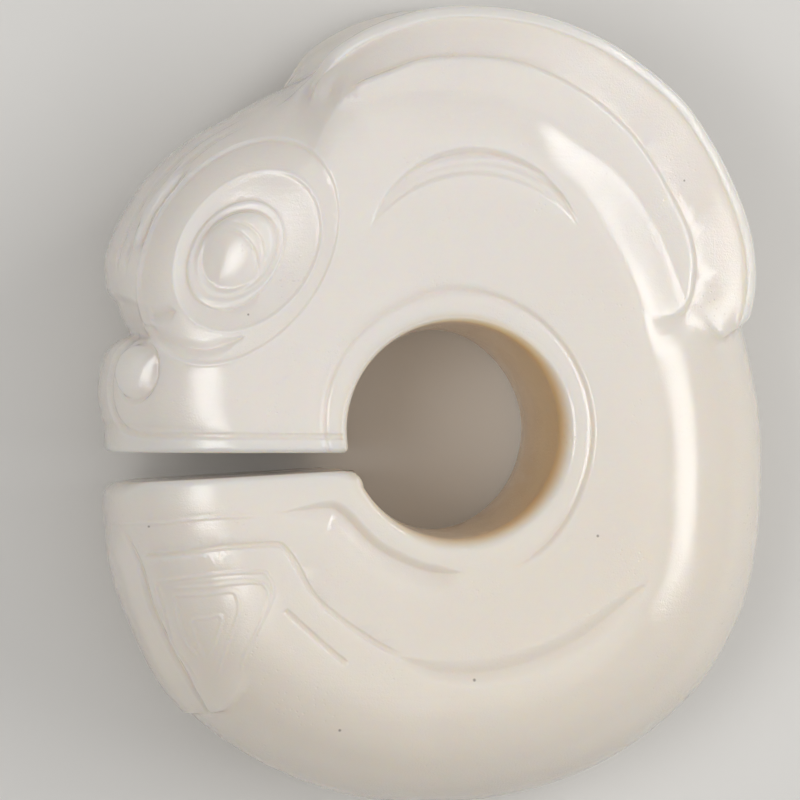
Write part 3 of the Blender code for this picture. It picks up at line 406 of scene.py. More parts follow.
def through_stations(at, places, values):
    """For each row of values, a smooth curve through them, read at the places in at."""
    gap = np.diff(places)
    rise = np.diff(values, axis=1) / gap
    slope = np.zeros_like(values)
    total = rise[:, :-1] + rise[:, 1:]
    same_way = rise[:, :-1] * rise[:, 1:] > 0
    both = 2 * rise[:, :-1] * rise[:, 1:]
    slope[:, 1:-1] = np.where(same_way, both / np.where(total == 0, 1.0, total), 0.0)
    slope[:, 0], slope[:, -1] = rise[:, 0], rise[:, -1]
    span = np.clip(np.searchsorted(places, at, side="right") - 1, 0, len(gap) - 1)
    step = (at - places[span]) / gap[span]
    after = span + 1
    return cubic(values[:, span], values[:, after], slope[:, span], slope[:, after], gap[span], step)


def ease(value, low, high):
    """0 below low and 1 above high, with a smooth turn between them."""
    step = np.clip((value - low) / (high - low), 0.0, 1.0)
    return step * step * (3 - 2 * step)


def window(value, start, full, fade, end):
    """1 between full and fade, falling smoothly to 0 at start and end."""
    return ease(value, start, full) * (1 - ease(value, fade, end))


def bend(points, per_span=12):
    """Points along a smooth line through a few chosen ones, as a Catmull-Rom curve."""
    knots = np.array(points, dtype=float)
    padded = np.vstack([2 * knots[0] - knots[1], knots, 2 * knots[-1] - knots[-2]])
    steps = np.linspace(0.0, 1.0, per_span, endpoint=False)[:, None]
    parts = []
    for before, start, end, after in zip(padded, padded[1:], padded[2:], padded[3:]):
        parts.append(
            0.5 * (2 * start + (end - before) * steps
                   + (2 * before - 5 * start + 4 * end - after) * steps**2
                   + (3 * start - before - 3 * end + after) * steps**3)
        )
    return np.vstack(parts + [knots[-1:]])


def near_line(x, y, line, reach):
    """Distance from each point to a line, and how far along it, as a share, the nearest place is."""
    distance, along, _ = beside_line(x, y, line, reach)
    return distance, along


def beside_line(x, y, line, reach):
    """The same as near_line, and 1 to the left of the line and -1 to its right."""
    distance = np.full(x.shape, 10.0 * reach)
    along = np.zeros(x.shape)
    side = np.zeros(x.shape)
    low, high = line.min(axis=0) - reach, line.max(axis=0) + reach
    close = (x > low[0]) & (x < high[0]) & (y > low[1]) & (y < high[1])
    px, py = x[close], y[close]
    best, place, hand = distance[close], along[close], side[close]
    lengths = np.hypot(*np.diff(line, axis=0).T)
    walked = np.concatenate([[0.0], np.cumsum(lengths)])
    for start, end, length, before in zip(line, line[1:], lengths, walked):
        way = (end - start) / length
        step = np.clip((px - start[0]) * way[0] + (py - start[1]) * way[1], 0.0, length)
        off = np.hypot(px - start[0] - step * way[0], py - start[1] - step * way[1])
        nearer = off < best
        best = np.where(nearer, off, best)
        place = np.where(nearer, (before + step) / walked[-1], place)
        hand = np.where(nearer, np.sign(way[0] * (py - start[1]) - way[1] * (px - start[0])), hand)
    distance[close], along[close], side[close] = best, place, hand
    return distance, along, side


def groove(distance, width, depth, softness):
    """A cut with a flat floor and rounded lips."""
    return -depth * (1 - ease(distance, 0.5 * width - softness, 0.5 * width + softness))


def trough(distance, half_width, depth):
    """A wide cut whose sides slope down to a crease in its middle."""
    share = np.clip(1 - distance / np.maximum(half_width, 1e-6), 0.0, 1.0)
    return -depth * share * share * (3 - 2 * share) ** 0.5


def ellipse_share(x, y, ellipse):
    """How far out a point lies: 0 at the middle of the ellipse and 1 on its line."""
    (middle_x, middle_y), (long_radius, short_radius), tilt = ellipse
    turn = math.radians(tilt)
    away_x, away_y = x - middle_x, y - middle_y
    along = (away_x * math.cos(turn) + away_y * math.sin(turn)) / long_radius
    across = (-away_x * math.sin(turn) + away_y * math.cos(turn)) / short_radius
    return np.hypot(along, across)


def share_between(outer, inner):
    """0 on the outer ellipse and 1 on the inner one, for two shares from ellipse_share."""
    past_outer, short_of_inner = 1 - outer, inner - 1
    between = np.clip(past_outer / np.maximum(past_outer + short_of_inner, 1e-6), 0.0, 1.0)
    return np.where(inner < 1, 1.0, np.where(outer > 1, 0.0, between))


class Carving:
    """Works out the surface of the stone from its sizes."""

    rows = 900
    wall_steps = 10
    edge_steps = 8
    face_steps = 165
    outer_steps = 110
    end_steps = 8
    cap_steps = 8

    def __init__(self, sizes):
        self.height = sizes.height
        self.half = 0.5 * sizes.thickness
        self.waist = 0.5 * sizes.hole
        self.flare = sizes.flare
        self.hole_edge = sizes.hole_edge
        self.slits = sizes.slit_inner, sizes.slit_outer
        self.lip_edge = sizes.lip_edge
        self.tail_corner = sizes.tail_corner
        self.width = sizes.line_width / sizes.height
        self.depth = sizes.line_depth / sizes.height
        self.soft = sizes.line_softness / sizes.height
        self.unevenness = sizes.unevenness

    def eye(self, x, y):
        """A brow line, a dished socket and a domed eyeball with its rings."""
        brow = ellipse_share(x, y, EYE_BROW)
        socket = ellipse_share(x, y, EYE_SOCKET)
        ball = ellipse_share(x, y, EYE_BALL)
        ring = ellipse_share(x, y, EYE_RING)
        first, second, third = EYE_LEVELS
        relief = -first * (1 - ease(brow, 0.965, 1.010))
        relief -= (second - first) * share_between(brow, socket)
        relief -= (third - second) * share_between(socket, ball) ** 0.75
        relief += EYE_BALL_STEP * (1 - ease(ball, 0.965, 1.01))
        relief -= 0.8 * EYE_BALL_STEP * window(ring, 0.90, 0.985, 1.01, 1.15)
        lean = EYE_BALL_TILT[0] * (x - EYE_RING[0][0]) + EYE_BALL_TILT[1] * (y - EYE_RING[0][1])
        relief += lean * (1 - ease(ring, 0.80, 1.0))
        relief += EYE_BALL_RISE * np.clip(1 - ring**2, 0.0, 1.0)
        for share, (_, (_, short_radius), _) in ((brow, EYE_BROW), (socket, EYE_SOCKET)):
            off = np.abs(share - 1) * short_radius
            relief += EYE_RIDGE * (1 - ease(off, 0.0, EYE_RIDGE_WIDTH))
        way = np.degrees(np.arctan2(y - EYE_BROW[0][1], x - EYE_BROW[0][0]))
        upper = window(way, 40.0, 75.0, 150.0, 178.0)
        relief -= BROW_CUT * upper * window(brow, 0.955, 0.988, 0.990, 1.010)
        away, along = near_line(x, y, bend(BROW_FOLD), 0.03)
        shown = window(along, 0.0, 0.3, 0.75, 1.0)
        relief += shown * self.bead(away, *BROW_FOLD_BEAD)
        shift_x, shift_y = BROW_FOLD_CUT_SHIFT
        away, along = near_line(x - shift_x, y - shift_y, bend(BROW_FOLD), 0.03)
        width, depth = BROW_FOLD_CUT
        relief -= shown * depth * (1 - ease(away, 0.0, width))
        for (middle_x, middle_y), radius, (start, end) in EYE_FOLDS:
            away = np.hypot(x - middle_x, y - middle_y)
            angle = np.degrees(np.arctan2(y - middle_y, x - middle_x))
            shown = window(angle, start - 12, start + 12, end - 12, end + 12)
            relief += shown * groove(np.abs(away - radius), *EYE_FOLD_SCORE)
        return relief

    def snout(self, x, y):
        """The nostril, the line round the nose disc that runs on as the lips, and the cheek."""
        nostril = ellipse_share(x, y, NOSTRIL)
        relief = NOSTRIL_RISE * np.clip(1 - nostril**2, 0.0, 1.0)
        lean = NOSTRIL_TILT[1] * (y - NOSTRIL[0][1]) - NOSTRIL_TILT[0] * (x - NOSTRIL[0][0])
        relief += lean * (1 - ease(nostril, 0.85, 1.15))
        relief += groove(np.abs(nostril - 1.04) * NOSTRIL[1][1], *NOSTRIL_SCORE)
        away, _ = near_line(x, y, bend(SNOUT_LINE), LINE_REACH)
        relief += groove(away, self.width, self.depth, self.soft)
        away, along = near_line(x, y, bend(CHEEK_LINE), LINE_REACH)
        relief += trough(away, 2.2 * self.width * window(along, -0.01, 0.2, 0.7, 1.0), 1.3 * self.depth)
        away, along = near_line(x, y, bend(CHEEK_CREASE), LINE_REACH)
        relief += trough(away, 2.4 * self.width * window(along, -0.01, 0.2, 0.7, 1.0), 1.8 * self.depth)
        away, along = near_line(x, y, bend(EYE_LID), LINE_REACH)
        relief += trough(away, 1.5 * self.width * window(along, -0.01, 0.3, 0.7, 1.0), 0.6 * self.depth)
        return relief

    def hollow(self, x, y):
        """The crescent below the ear, cut between two arcs, with a fold along its floor."""
        short_of_outer = NECK_OUTER[1] - np.hypot(x - NECK_OUTER[0][0], y - NECK_OUTER[0][1])
        past_inner = np.hypot(x - NECK_INNER[0][0], y - NECK_INNER[0][1]) - NECK_INNER[1]
        inside = (short_of_outer > 0) & (past_inner > 0) & (y > 0)
        width = np.where(inside, short_of_outer + past_inner, 1.0)
        share = np.clip(np.where(inside, past_inner, 0.0) / width, 0.0, 1.0)
        widest = NECK_OUTER[0][1] + NECK_OUTER[1] - NECK_INNER[0][1] - NECK_INNER[1]
        profile = 0.55 * ease(share, 0.0, 0.22) + 0.45 * ease(share, 0.3, 0.75)
        profile *= 1 - ease(share, 0.80, 1.0)
        relief = -NECK_HOLLOW_DEPTH * np.where(inside, (width / widest) ** 0.7 * profile, 0.0)
        away, along = near_line(x, y, bend(NECK_FOLD), 0.04)
        relief += self.bead(away, *NECK_FOLD_BEAD) * window(along, 0.0, 0.3, 0.8, 1.0)
        return relief

    def bead(self, distance, width, height):
        """A fine ridge left standing between two shallow scores."""
        ridge = height * (1 - ease(distance, 0.0, 0.5 * width))
        return ridge - 0.5 * height * window(distance, 0.3 * width, 0.6 * width, 0.7 * width, 1.2 * width)

    def body(self, x, y):
        """The ring round the hole, the hollow of the belly, and the tail's bands."""
        rim = (self.waist + self.flare) / self.height
        away_x, away_y = x - RING_MIDDLE[0], y - RING_MIDDLE[1]
        radius = np.hypot(away_x, away_y)
        angle = np.degrees(np.arctan2(away_y, away_x))
        angle = np.where(angle < -150.0, angle + 360.0, angle)
        ring = rim + curve_through(angle, RING_WIDTH)
        shown = window(angle, *RING_FADE)
        outside = np.clip(1 - (radius - ring) / curve_through(angle, RING_BANK), 0.0, 1.0)
        inside = np.clip(1 - (ring - radius) / (0.45 * (ring - rim)), 0.0, 1.0)
        crown = COLLAR_CROWN + (RING_DEPTH - COLLAR_CROWN) * inside**3
        relief = -shown * np.where(radius > ring, RING_DEPTH * outside**2, crown)
        away, along, side = beside_line(x, y, bend(COLLAR_TROUGH), LINE_REACH)
        width = np.where(side < 0, COLLAR_TROUGH_WIDTHS[1], COLLAR_TROUGH_WIDTHS[0])
        width = width * window(along, 0.0, 0.35, 0.85, 1.0)
        relief += trough(away, width, COLLAR_TROUGH_DEPTH * window(along, 0.0, 0.4, 0.8, 1.0))
        away, along = near_line(x, y, bend(BELLY_HOLLOW), BELLY_HOLLOW_WIDTH)
        fill = np.sqrt(np.clip(4 * along * (1 - along), 0.0, 1.0))
        relief += trough(away, 0.5 * BELLY_HOLLOW_WIDTH * fill, BELLY_HOLLOW_DEPTH * fill)
        away, along = near_line(x, y, bend(EAR_FRONT), LINE_REACH)
        relief += window(along, 0.1, 0.45, 0.7, 1.0) * self.bead(away, EAR_FRONT_WIDTH, EAR_FRONT_RISE)
        for points in TAIL_CUTS:
            away, along = near_line(x, y, bend(points), LINE_REACH)
            cut = groove(away, self.width, self.depth, self.soft)
            relief += cut * window(along, -0.01, 0.03, 0.9, 1.0)
        for points in TAIL_BEADS:
            away, along = near_line(x, y, bend(points), LINE_REACH)
            shown = window(along, -0.01, 0.04, 0.85, 1.0)
            relief += shown * self.bead(away, TAIL_BEAD_WIDTH, TAIL_BEAD_HEIGHT)
        return relief

    def shield(self, x, y):
        """The raised front of the chest, whose lower end stands over the belly."""
        left = x - curve_through(y, SHIELD_LEFT)
        right = curve_through(y, SHIELD_RIGHT) - x
        rise = ease(left, -0.001, 0.004) * ease(right, -0.001, 0.016) * (1 - ease(y, *SHIELD_FADE))
        return SHIELD_RISE * rise * ease(y, -0.3505, -0.3460)

    def front(self, angle, x, y, level):
        """The raised band down the chest, and the two fine lines along each side of the brow."""
        slope = (curve_through(y + 0.002, CHEST_EDGE) - curve_through(y - 0.002, CHEST_EDGE)) / 0.004
        inward = (x - curve_through(y, CHEST_EDGE)) / np.hypot(1.0, slope)
        near_tail = (x < -0.2) & (y < 0.0)
        ends = window(y, *CHEST_BAND_ENDS) * near_tail
        relief = CHEST_BAND_RISE * ends * (1 - ease(inward, -0.0200, -0.0010))
        relief += ends * groove(np.abs(inward - 0.0015), *CHEST_SCORE)
        shown = window(angle, *BROW_LINE_ENDS)
        for height in BROW_LINES:
            relief += shown * groove(np.abs(level - height) * 0.17, *BROW_SCORE)
        return relief

    def lobe(self, x, y):
        """The lobe of the ear, which stands over the scoop behind it and ends in a round tip."""
        turns = np.radians(np.arange(106.0, 33.0, -2.0))
        crease = curve_through(np.degrees(turns), EAR_CREASE)
        line = np.stack([crease * np.cos(turns), crease * np.sin(turns)], axis=1)
        line = np.vstack([line, bend(EAR_LOBE_END)])
        away, _, side = beside_line(x, y, line, EAR_STEP_REACH)
        edge = np.where(side < 0, 1.0, 1 - ease(away, 0.0, EAR_STEP_WIDTH)) * (away < EAR_STEP_REACH)
        angle = np.clip(np.degrees(np.arctan2(y, x)), 14.0, 121.0)
        bank = curve_through(angle, EAR_BANK)
        shown = ease(np.hypot(x, y), bank - 0.5 * EAR_BANK_WIDTH, bank + 0.5 * EAR_BANK_WIDTH)
        return EAR_STEP * edge * shown * (1 - ease(angle, EAR_SCOOP_FRONT[1], EAR_SCOOP_FRONT[0]))

    def swell(self, x, y):
        """The slow waves that hand polishing leaves in a face, from 0 down."""
        waves = (
            (np.sin(31 * x + 13 * y + 0.6) + np.sin(17 * x - 37 * y + 2.1))
            + 0.6 * (np.sin(71 * x - 29 * y + 4.0) + np.sin(23 * x + 83 * y + 1.3))
        )
        return -self.unevenness / self.height * (0.5 + waves / 6.4)

    def section_ends(self):
        """For each section, its inner point on the waist of the bore and its outer point on the
        outline, from the mouth to the tail."""
        mouth = MOUTH_LEVEL * self.height
        front = FRONT_RADIUS * self.height
        mouth_end = mouth + self.lip_edge
        tail_inner = mouth - self.slits[0] - self.tail_corner
        tail_outer = mouth - self.slits[1] - self.tail_corner
        inner = (
            180.0 - math.degrees(math.asin(mouth_end / self.waist)),
            -180.0 - math.degrees(math.asin(tail_inner / self.waist)),
        )
        outer = (
            180.0 - math.degrees(math.asin(mouth_end / front)),
            -180.0 - math.degrees(math.asin(tail_outer / front)),
        )
        pace = np.array([0.0, 0.30, 0.80, 1.0])
        share = np.interp(np.linspace(0.0, 1.0, self.rows), pace, [0.0, 0.19, 0.87, 1.0])
        outer_angle = outer[0] + (outer[1] - outer[0]) * share
        skew = inner[0] - outer[0], inner[1] - outer[1]
        skew = skew[0] * (1 - ease(share, 0.0, 0.22)) + skew[1] * ease(share, 0.78, 1.0)
        inner_angle = np.radians(outer_angle + skew)
        radius = self.height * curve_through(outer_angle, OUTLINE)
        turn = np.radians(outer_angle)
        inner_points = self.waist * np.stack([np.cos(inner_angle), np.sin(inner_angle)], axis=1)
        outer_points = radius[:, None] * np.stack([np.cos(turn), np.sin(turn)], axis=1)
        return outer_angle, inner_points, outer_points

    def ear_weight(self, angle, radius):
        """1 where the section carries an ear and 0 where it doesn't, falling steeply at the tip."""
        beyond = radius / self.height - EAR_TIP_RADIUS
        from_tip = angle - EAR_TIP_SWEEP * np.maximum(beyond, 0.0)
        melt = EAR_TIP_MELT * (1 - ease(beyond, -0.01, 0.028))
        tip = ease(from_tip, EAR_TIP[0], EAR_TIP[1] + melt)
        return tip * (1 - ease(angle, EAR_ROOT[1], EAR_ROOT[0]))

    def half_surface(self, lift):
        """Points of one half, from the waist of the bore over the face to the outline, as a grid
        of sections by steps, and the angle of each section."""
        angle, inner, outer = self.section_ends()
        half, height = self.half, self.height
        length = np.hypot(*(outer - inner).T)[:, None]
        shoulder = height * curve_through(angle, SHOULDER)[:, None]
        power = curve_through(angle, ROLL_POWER)[:, None]

        hole_edge = self.hole_edge * curve_through(angle, HOLE_EDGE)[:, None]
        wall_top = half - hole_edge
        wall = np.linspace(0.0, 1.0, self.wall_steps, endpoint=False)[None, :]
        wall_out = self.flare * wall**2 + 0 * length
        wall_up = wall_top * wall
        turn = np.linspace(0.0, 0.5 * math.pi, self.edge_steps, endpoint=False)[None, :]
        edge_out = self.flare + hole_edge * (1 - np.cos(turn))
        edge_up = wall_top + hole_edge * np.sin(turn)
        face_start = self.flare + hole_edge

        outline = height * curve_through(angle, OUTLINE)[:, None]
        crease_out = height * curve_through(angle, EAR_CREASE)[:, None] - (outline - length)
        carries_ear = ease(angle, EAR_TIP[0] - 5, EAR_TIP[0] + 4)
        carries_ear = (carries_ear * (1 - ease(angle, EAR_ROOT[1], EAR_ROOT[0])))[:, None]
        plain_split = length - 0.62 * shoulder
        split = plain_split + (crease_out - plain_split) * carries_ear

        def rolled(out):
            share = np.clip((out - (length - shoulder)) / shoulder, 0.0, 1.0)
            return half * (1 - share**power) ** (1 / power)

        face = np.linspace(0.0, 1.0, self.face_steps, endpoint=False)[None, :]
        face_out = face_start + (split - face_start) * face
        bank = height * curve_through(angle, EAR_BANK)[:, None]
        bank_drop = height * curve_through(angle, EAR_BANK_DROP)[:, None]
        bank_half = 0.5 * EAR_BANK_WIDTH * height

        def lobe(out):
            radius = out + outline - length
            fall = bank_drop * ease(radius, bank - bank_half, bank + bank_half)
            tilt = EAR_LOBE_TILT * np.clip(radius - bank, 0.0, None)
            return half - fall - tilt * ease(radius, bank, bank + bank_half)

        ear_face_up = lobe(face_out)
        plain_face_up = rolled(face_out)

        step = np.linspace(0.0, 1.0, self.outer_steps)
        split_share = np.clip((split - (length - shoulder)) / shoulder, 0.0, 1.0)
        first_turn = np.arcsin(split_share ** (0.5 * power))
        roll_turn = first_turn + (0.5 * math.pi - first_turn) * step[None, :]
        plain_out = length - shoulder + shoulder * np.sin(roll_turn) ** (2 / power)
        plain_up = half * np.clip(np.cos(roll_turn), 0.0, 1.0) ** (2 / power)

        lift_shown = window(angle, *EAR_LIFT_ENDS)[:, None] * lift * height
        rim = height * curve_through(angle, EAR_RIM)[:, None] + lift_shown - (outline - length)
        floor_up = lobe(split)
        width = rim - split
        open_front = 1 - ease(angle, EAR_SCOOP_FRONT[1], EAR_SCOOP_FRONT[0])[:, None]
        lip = EAR_LIP_WIDTH * height
        rim_up = half * curve_through(angle, EAR_RIM_HEIGHT)[:, None]
        foot_up = rim_up - EAR_LIP_HEIGHT * height * (0.2 + 0.8 * open_front)
        ear_out = np.hstack([
            split, split + 0.34 * (width - lip), split + 0.70 * (width - lip),
            rim - lip, rim - 0.84 * lip, rim - 0.55 * lip, rim - 0.28 * lip, rim - 0.08 * lip, rim,
            rim - 0.25 * lip, 0.66 * rim + 0.34 * length, 0.28 * rim + 0.72 * length,
            0.05 * rim + 0.95 * length, length,
        ])
        ear_up = np.hstack([
            floor_up, 0.66 * floor_up + 0.34 * foot_up,
            0.30 * floor_up + 0.70 * foot_up, foot_up, rim_up, rim_up - 0.10 * lip,
            rim_up - 0.21 * lip, rim_up - 0.42 * lip, rim_up - 0.80 * lip, rim_up - 1.6 * lip,
            0.56 * rim_up, 0.38 * rim_up, 0.18 * rim_up, 0 * rim_up,
        ])
        places = np.array([
            0.0, 0.16, 0.30, 0.41, 0.44, 0.47, 0.50, 0.53, 0.57, 0.62, 0.74, 0.84, 0.93, 1.0,
        ])
        ear_outer_out = through_stations(step, places, ear_out)
        ear_outer_up = through_stations(step, places, ear_up)

        notch = height * curve_through(angle, BROW_NOTCH)[:, None]
        plain_across = np.hstack([wall_out, edge_out, face_out, plain_out])
        plain_across -= notch * (1 - ease(length - plain_across, 0.0, NOTCH_REACH * height)) ** 2
        plain_high = np.hstack([wall_up, edge_up, plain_face_up, plain_up])
        ear_across = np.hstack([wall_out, edge_out, face_out, ear_outer_out])
        ear_high = np.hstack([wall_up, edge_up, ear_face_up, ear_outer_up])
        way = (outer - inner) / length
        plan_x = inner[:, :1] + way[:, :1] * plain_across
        plan_y = inner[:, 1:] + way[:, 1:] * plain_across
        weight = self.ear_weight(np.degrees(np.arctan2(plan_y, plan_x)), np.hypot(plan_x, plan_y))
        out = plain_across + (ear_across - plain_across) * weight
        up = plain_high + (ear_high - plain_high) * weight
        points = np.stack([inner[:, :1] + way[:, :1] * out, inner[:, 1:] + way[:, 1:] * out, up], axis=2)
        return points, angle

    def carved_half(self, lift):
        """One half with its carving cut into it."""
        points, angle = self.half_surface(lift)
        along = np.gradient(points, axis=0)
        across = np.gradient(points, axis=1)
        normal = np.cross(along, across)
        normal /= np.maximum(np.linalg.norm(normal, axis=2, keepdims=True), 1e-12)
        x, y, up = (points / self.height).transpose(2, 0, 1)
        x = x - VIEW_LEAN * (CARVING_PLANE - up)
        level = points[:, :, 2] / self.half
        side = ease(level, 0.10, 0.35)
        relief = np.zeros(x.shape)
        for part in (self.eye, self.snout, self.hollow, self.body, self.shield, self.lobe):
            relief += part(x, y)
        relief *= side
        relief += self.front(angle[:, None] + 0 * level, x, y, level)
        relief += self.swell(x, y) * side
        faces = np.arange(points.shape[1]) >= self.wall_steps + self.edge_steps - 1
        relief *= faces[None, :] * self.height
        carved = points + normal * relief[:, :, None]
        carved[:, 0, 2] = 0.0
        carved[:, -1, 2] = 0.0
        carved[:, :, 2] = np.clip(carved[:, :, 2], 0.0, self.half)
        return carved

    def end_rows(self, loop, inward_way, corner):
        """Rows that round the edge of an end face, from the last section in."""
        spread = np.gradient(np.vstack([loop[-1:], loop, loop[:1]]), axis=0)[1:-1]
        flat_way = loop[0] - loop[len(loop) // 2]
        flat_way = flat_way / np.linalg.norm(flat_way)
        up = np.array([0.0, 0.0, 1.0])
        tangent = np.stack([spread @ flat_way, spread[:, 2]], axis=1)
        tangent /= np.maximum(np.linalg.norm(tangent, axis=1, keepdims=True), 1e-12)
        inset_way = np.outer(-tangent[:, 1], flat_way) + np.outer(tangent[:, 0], up)
        if ((loop.mean(axis=0) - loop) * inset_way).sum() < 0:
            inset_way = -inset_way
        rows = []
        deepest = corner.max()
        for turn in np.linspace(0.0, 0.5 * math.pi, self.end_steps + 1)[1:]:
            remaining = deepest * (1 - math.sin(turn))
            within = np.clip(corner - remaining, 0.0, None)
            inset = corner - np.sqrt(np.clip(corner**2 - within**2, 0.0, None))
            rows.append(loop + inset_way * inset[:, None] + inward_way * (deepest - remaining))
        return rows

    def cap_rows(self, loop):
        """Rows that shrink an end face onto a line down its middle."""
        first, last = loop[0], loop[len(loop) // 2]
        span = np.linalg.norm(last - first)
        way = (last - first) / span
        margin = 0.42 * span
        place = np.clip((loop - first) @ way, margin, span - margin)
        spine = first + place[:, None] * way
        return [loop + (spine - loop) * share for share in np.linspace(0.0, 1.0, self.cap_steps + 1)[1:]]

    def surface(self):
        """All rows of the closed surface, from inside the mouth face to inside the tail face, moved
        so that the stone lies on the ground over the origin, and where that puts the hole's middle."""
        near = self.carved_half(0.0)
        far = self.carved_half(EAR_LIFT_FAR)
        far[:, 0], far[:, -1] = near[:, 0], near[:, -1]
        far = far * np.array([1.0, 1.0, -1.0])
        loops = np.concatenate([near, far[:, -2:0:-1]], axis=1)
        slope = math.atan2(self.slits[1] - self.slits[0], FRONT_RADIUS * self.height - self.waist)
        mouth_corner = np.full(len(loops[0]), self.lip_edge)
        from_hole = np.hypot(loops[-1][:, 0], loops[-1][:, 1]) - self.waist
        from_end = np.minimum(from_hole, from_hole.max() - from_hole)
        at_end = 1 - ease(from_end, 0.2 * self.tail_corner, 2.0 * self.tail_corner)
        tail_corner = self.lip_edge + (self.tail_corner - self.lip_edge) * at_end
        mouth = self.end_rows(loops[0], np.array([0.0, -1.0, 0.0]), mouth_corner)
        mouth += self.cap_rows(mouth[-1])
        tail_up = np.array([-math.sin(slope), math.cos(slope), 0.0])
        tail = self.end_rows(loops[-1], tail_up, tail_corner)
        tail += self.cap_rows(tail[-1])
        rows = np.stack(mouth[::-1] + list(loops) + tail)
        low, high = rows.reshape(-1, 3).min(axis=0), rows.reshape(-1, 3).max(axis=0)
        middle = np.array([0.5 * (low[0] + high[0]), 0.5 * (low[1] + high[1]), low[2]])
        return rows - middle, tuple(-middle)


def tree_node(tree, kind, links=(), out=0, **settings):
    """Adds a shader node, sets its inputs and options, links (from socket, to input) pairs into
    it, and hands back one of its outputs."""
    node = tree.nodes.new("ShaderNode" + kind)
    for name, value in settings.items():
        if name.startswith("in_"):
            key = name[3:].replace("_", " ")
            socket = node.inputs[int(key)] if key.isdigit() else node.inputs[key]
            socket.default_value = value
        else:
            setattr(node, name, value)
    for source, target in links:
        tree.links.new(source, node.inputs[target])
    return node.outputs[out] if node.outputs else None


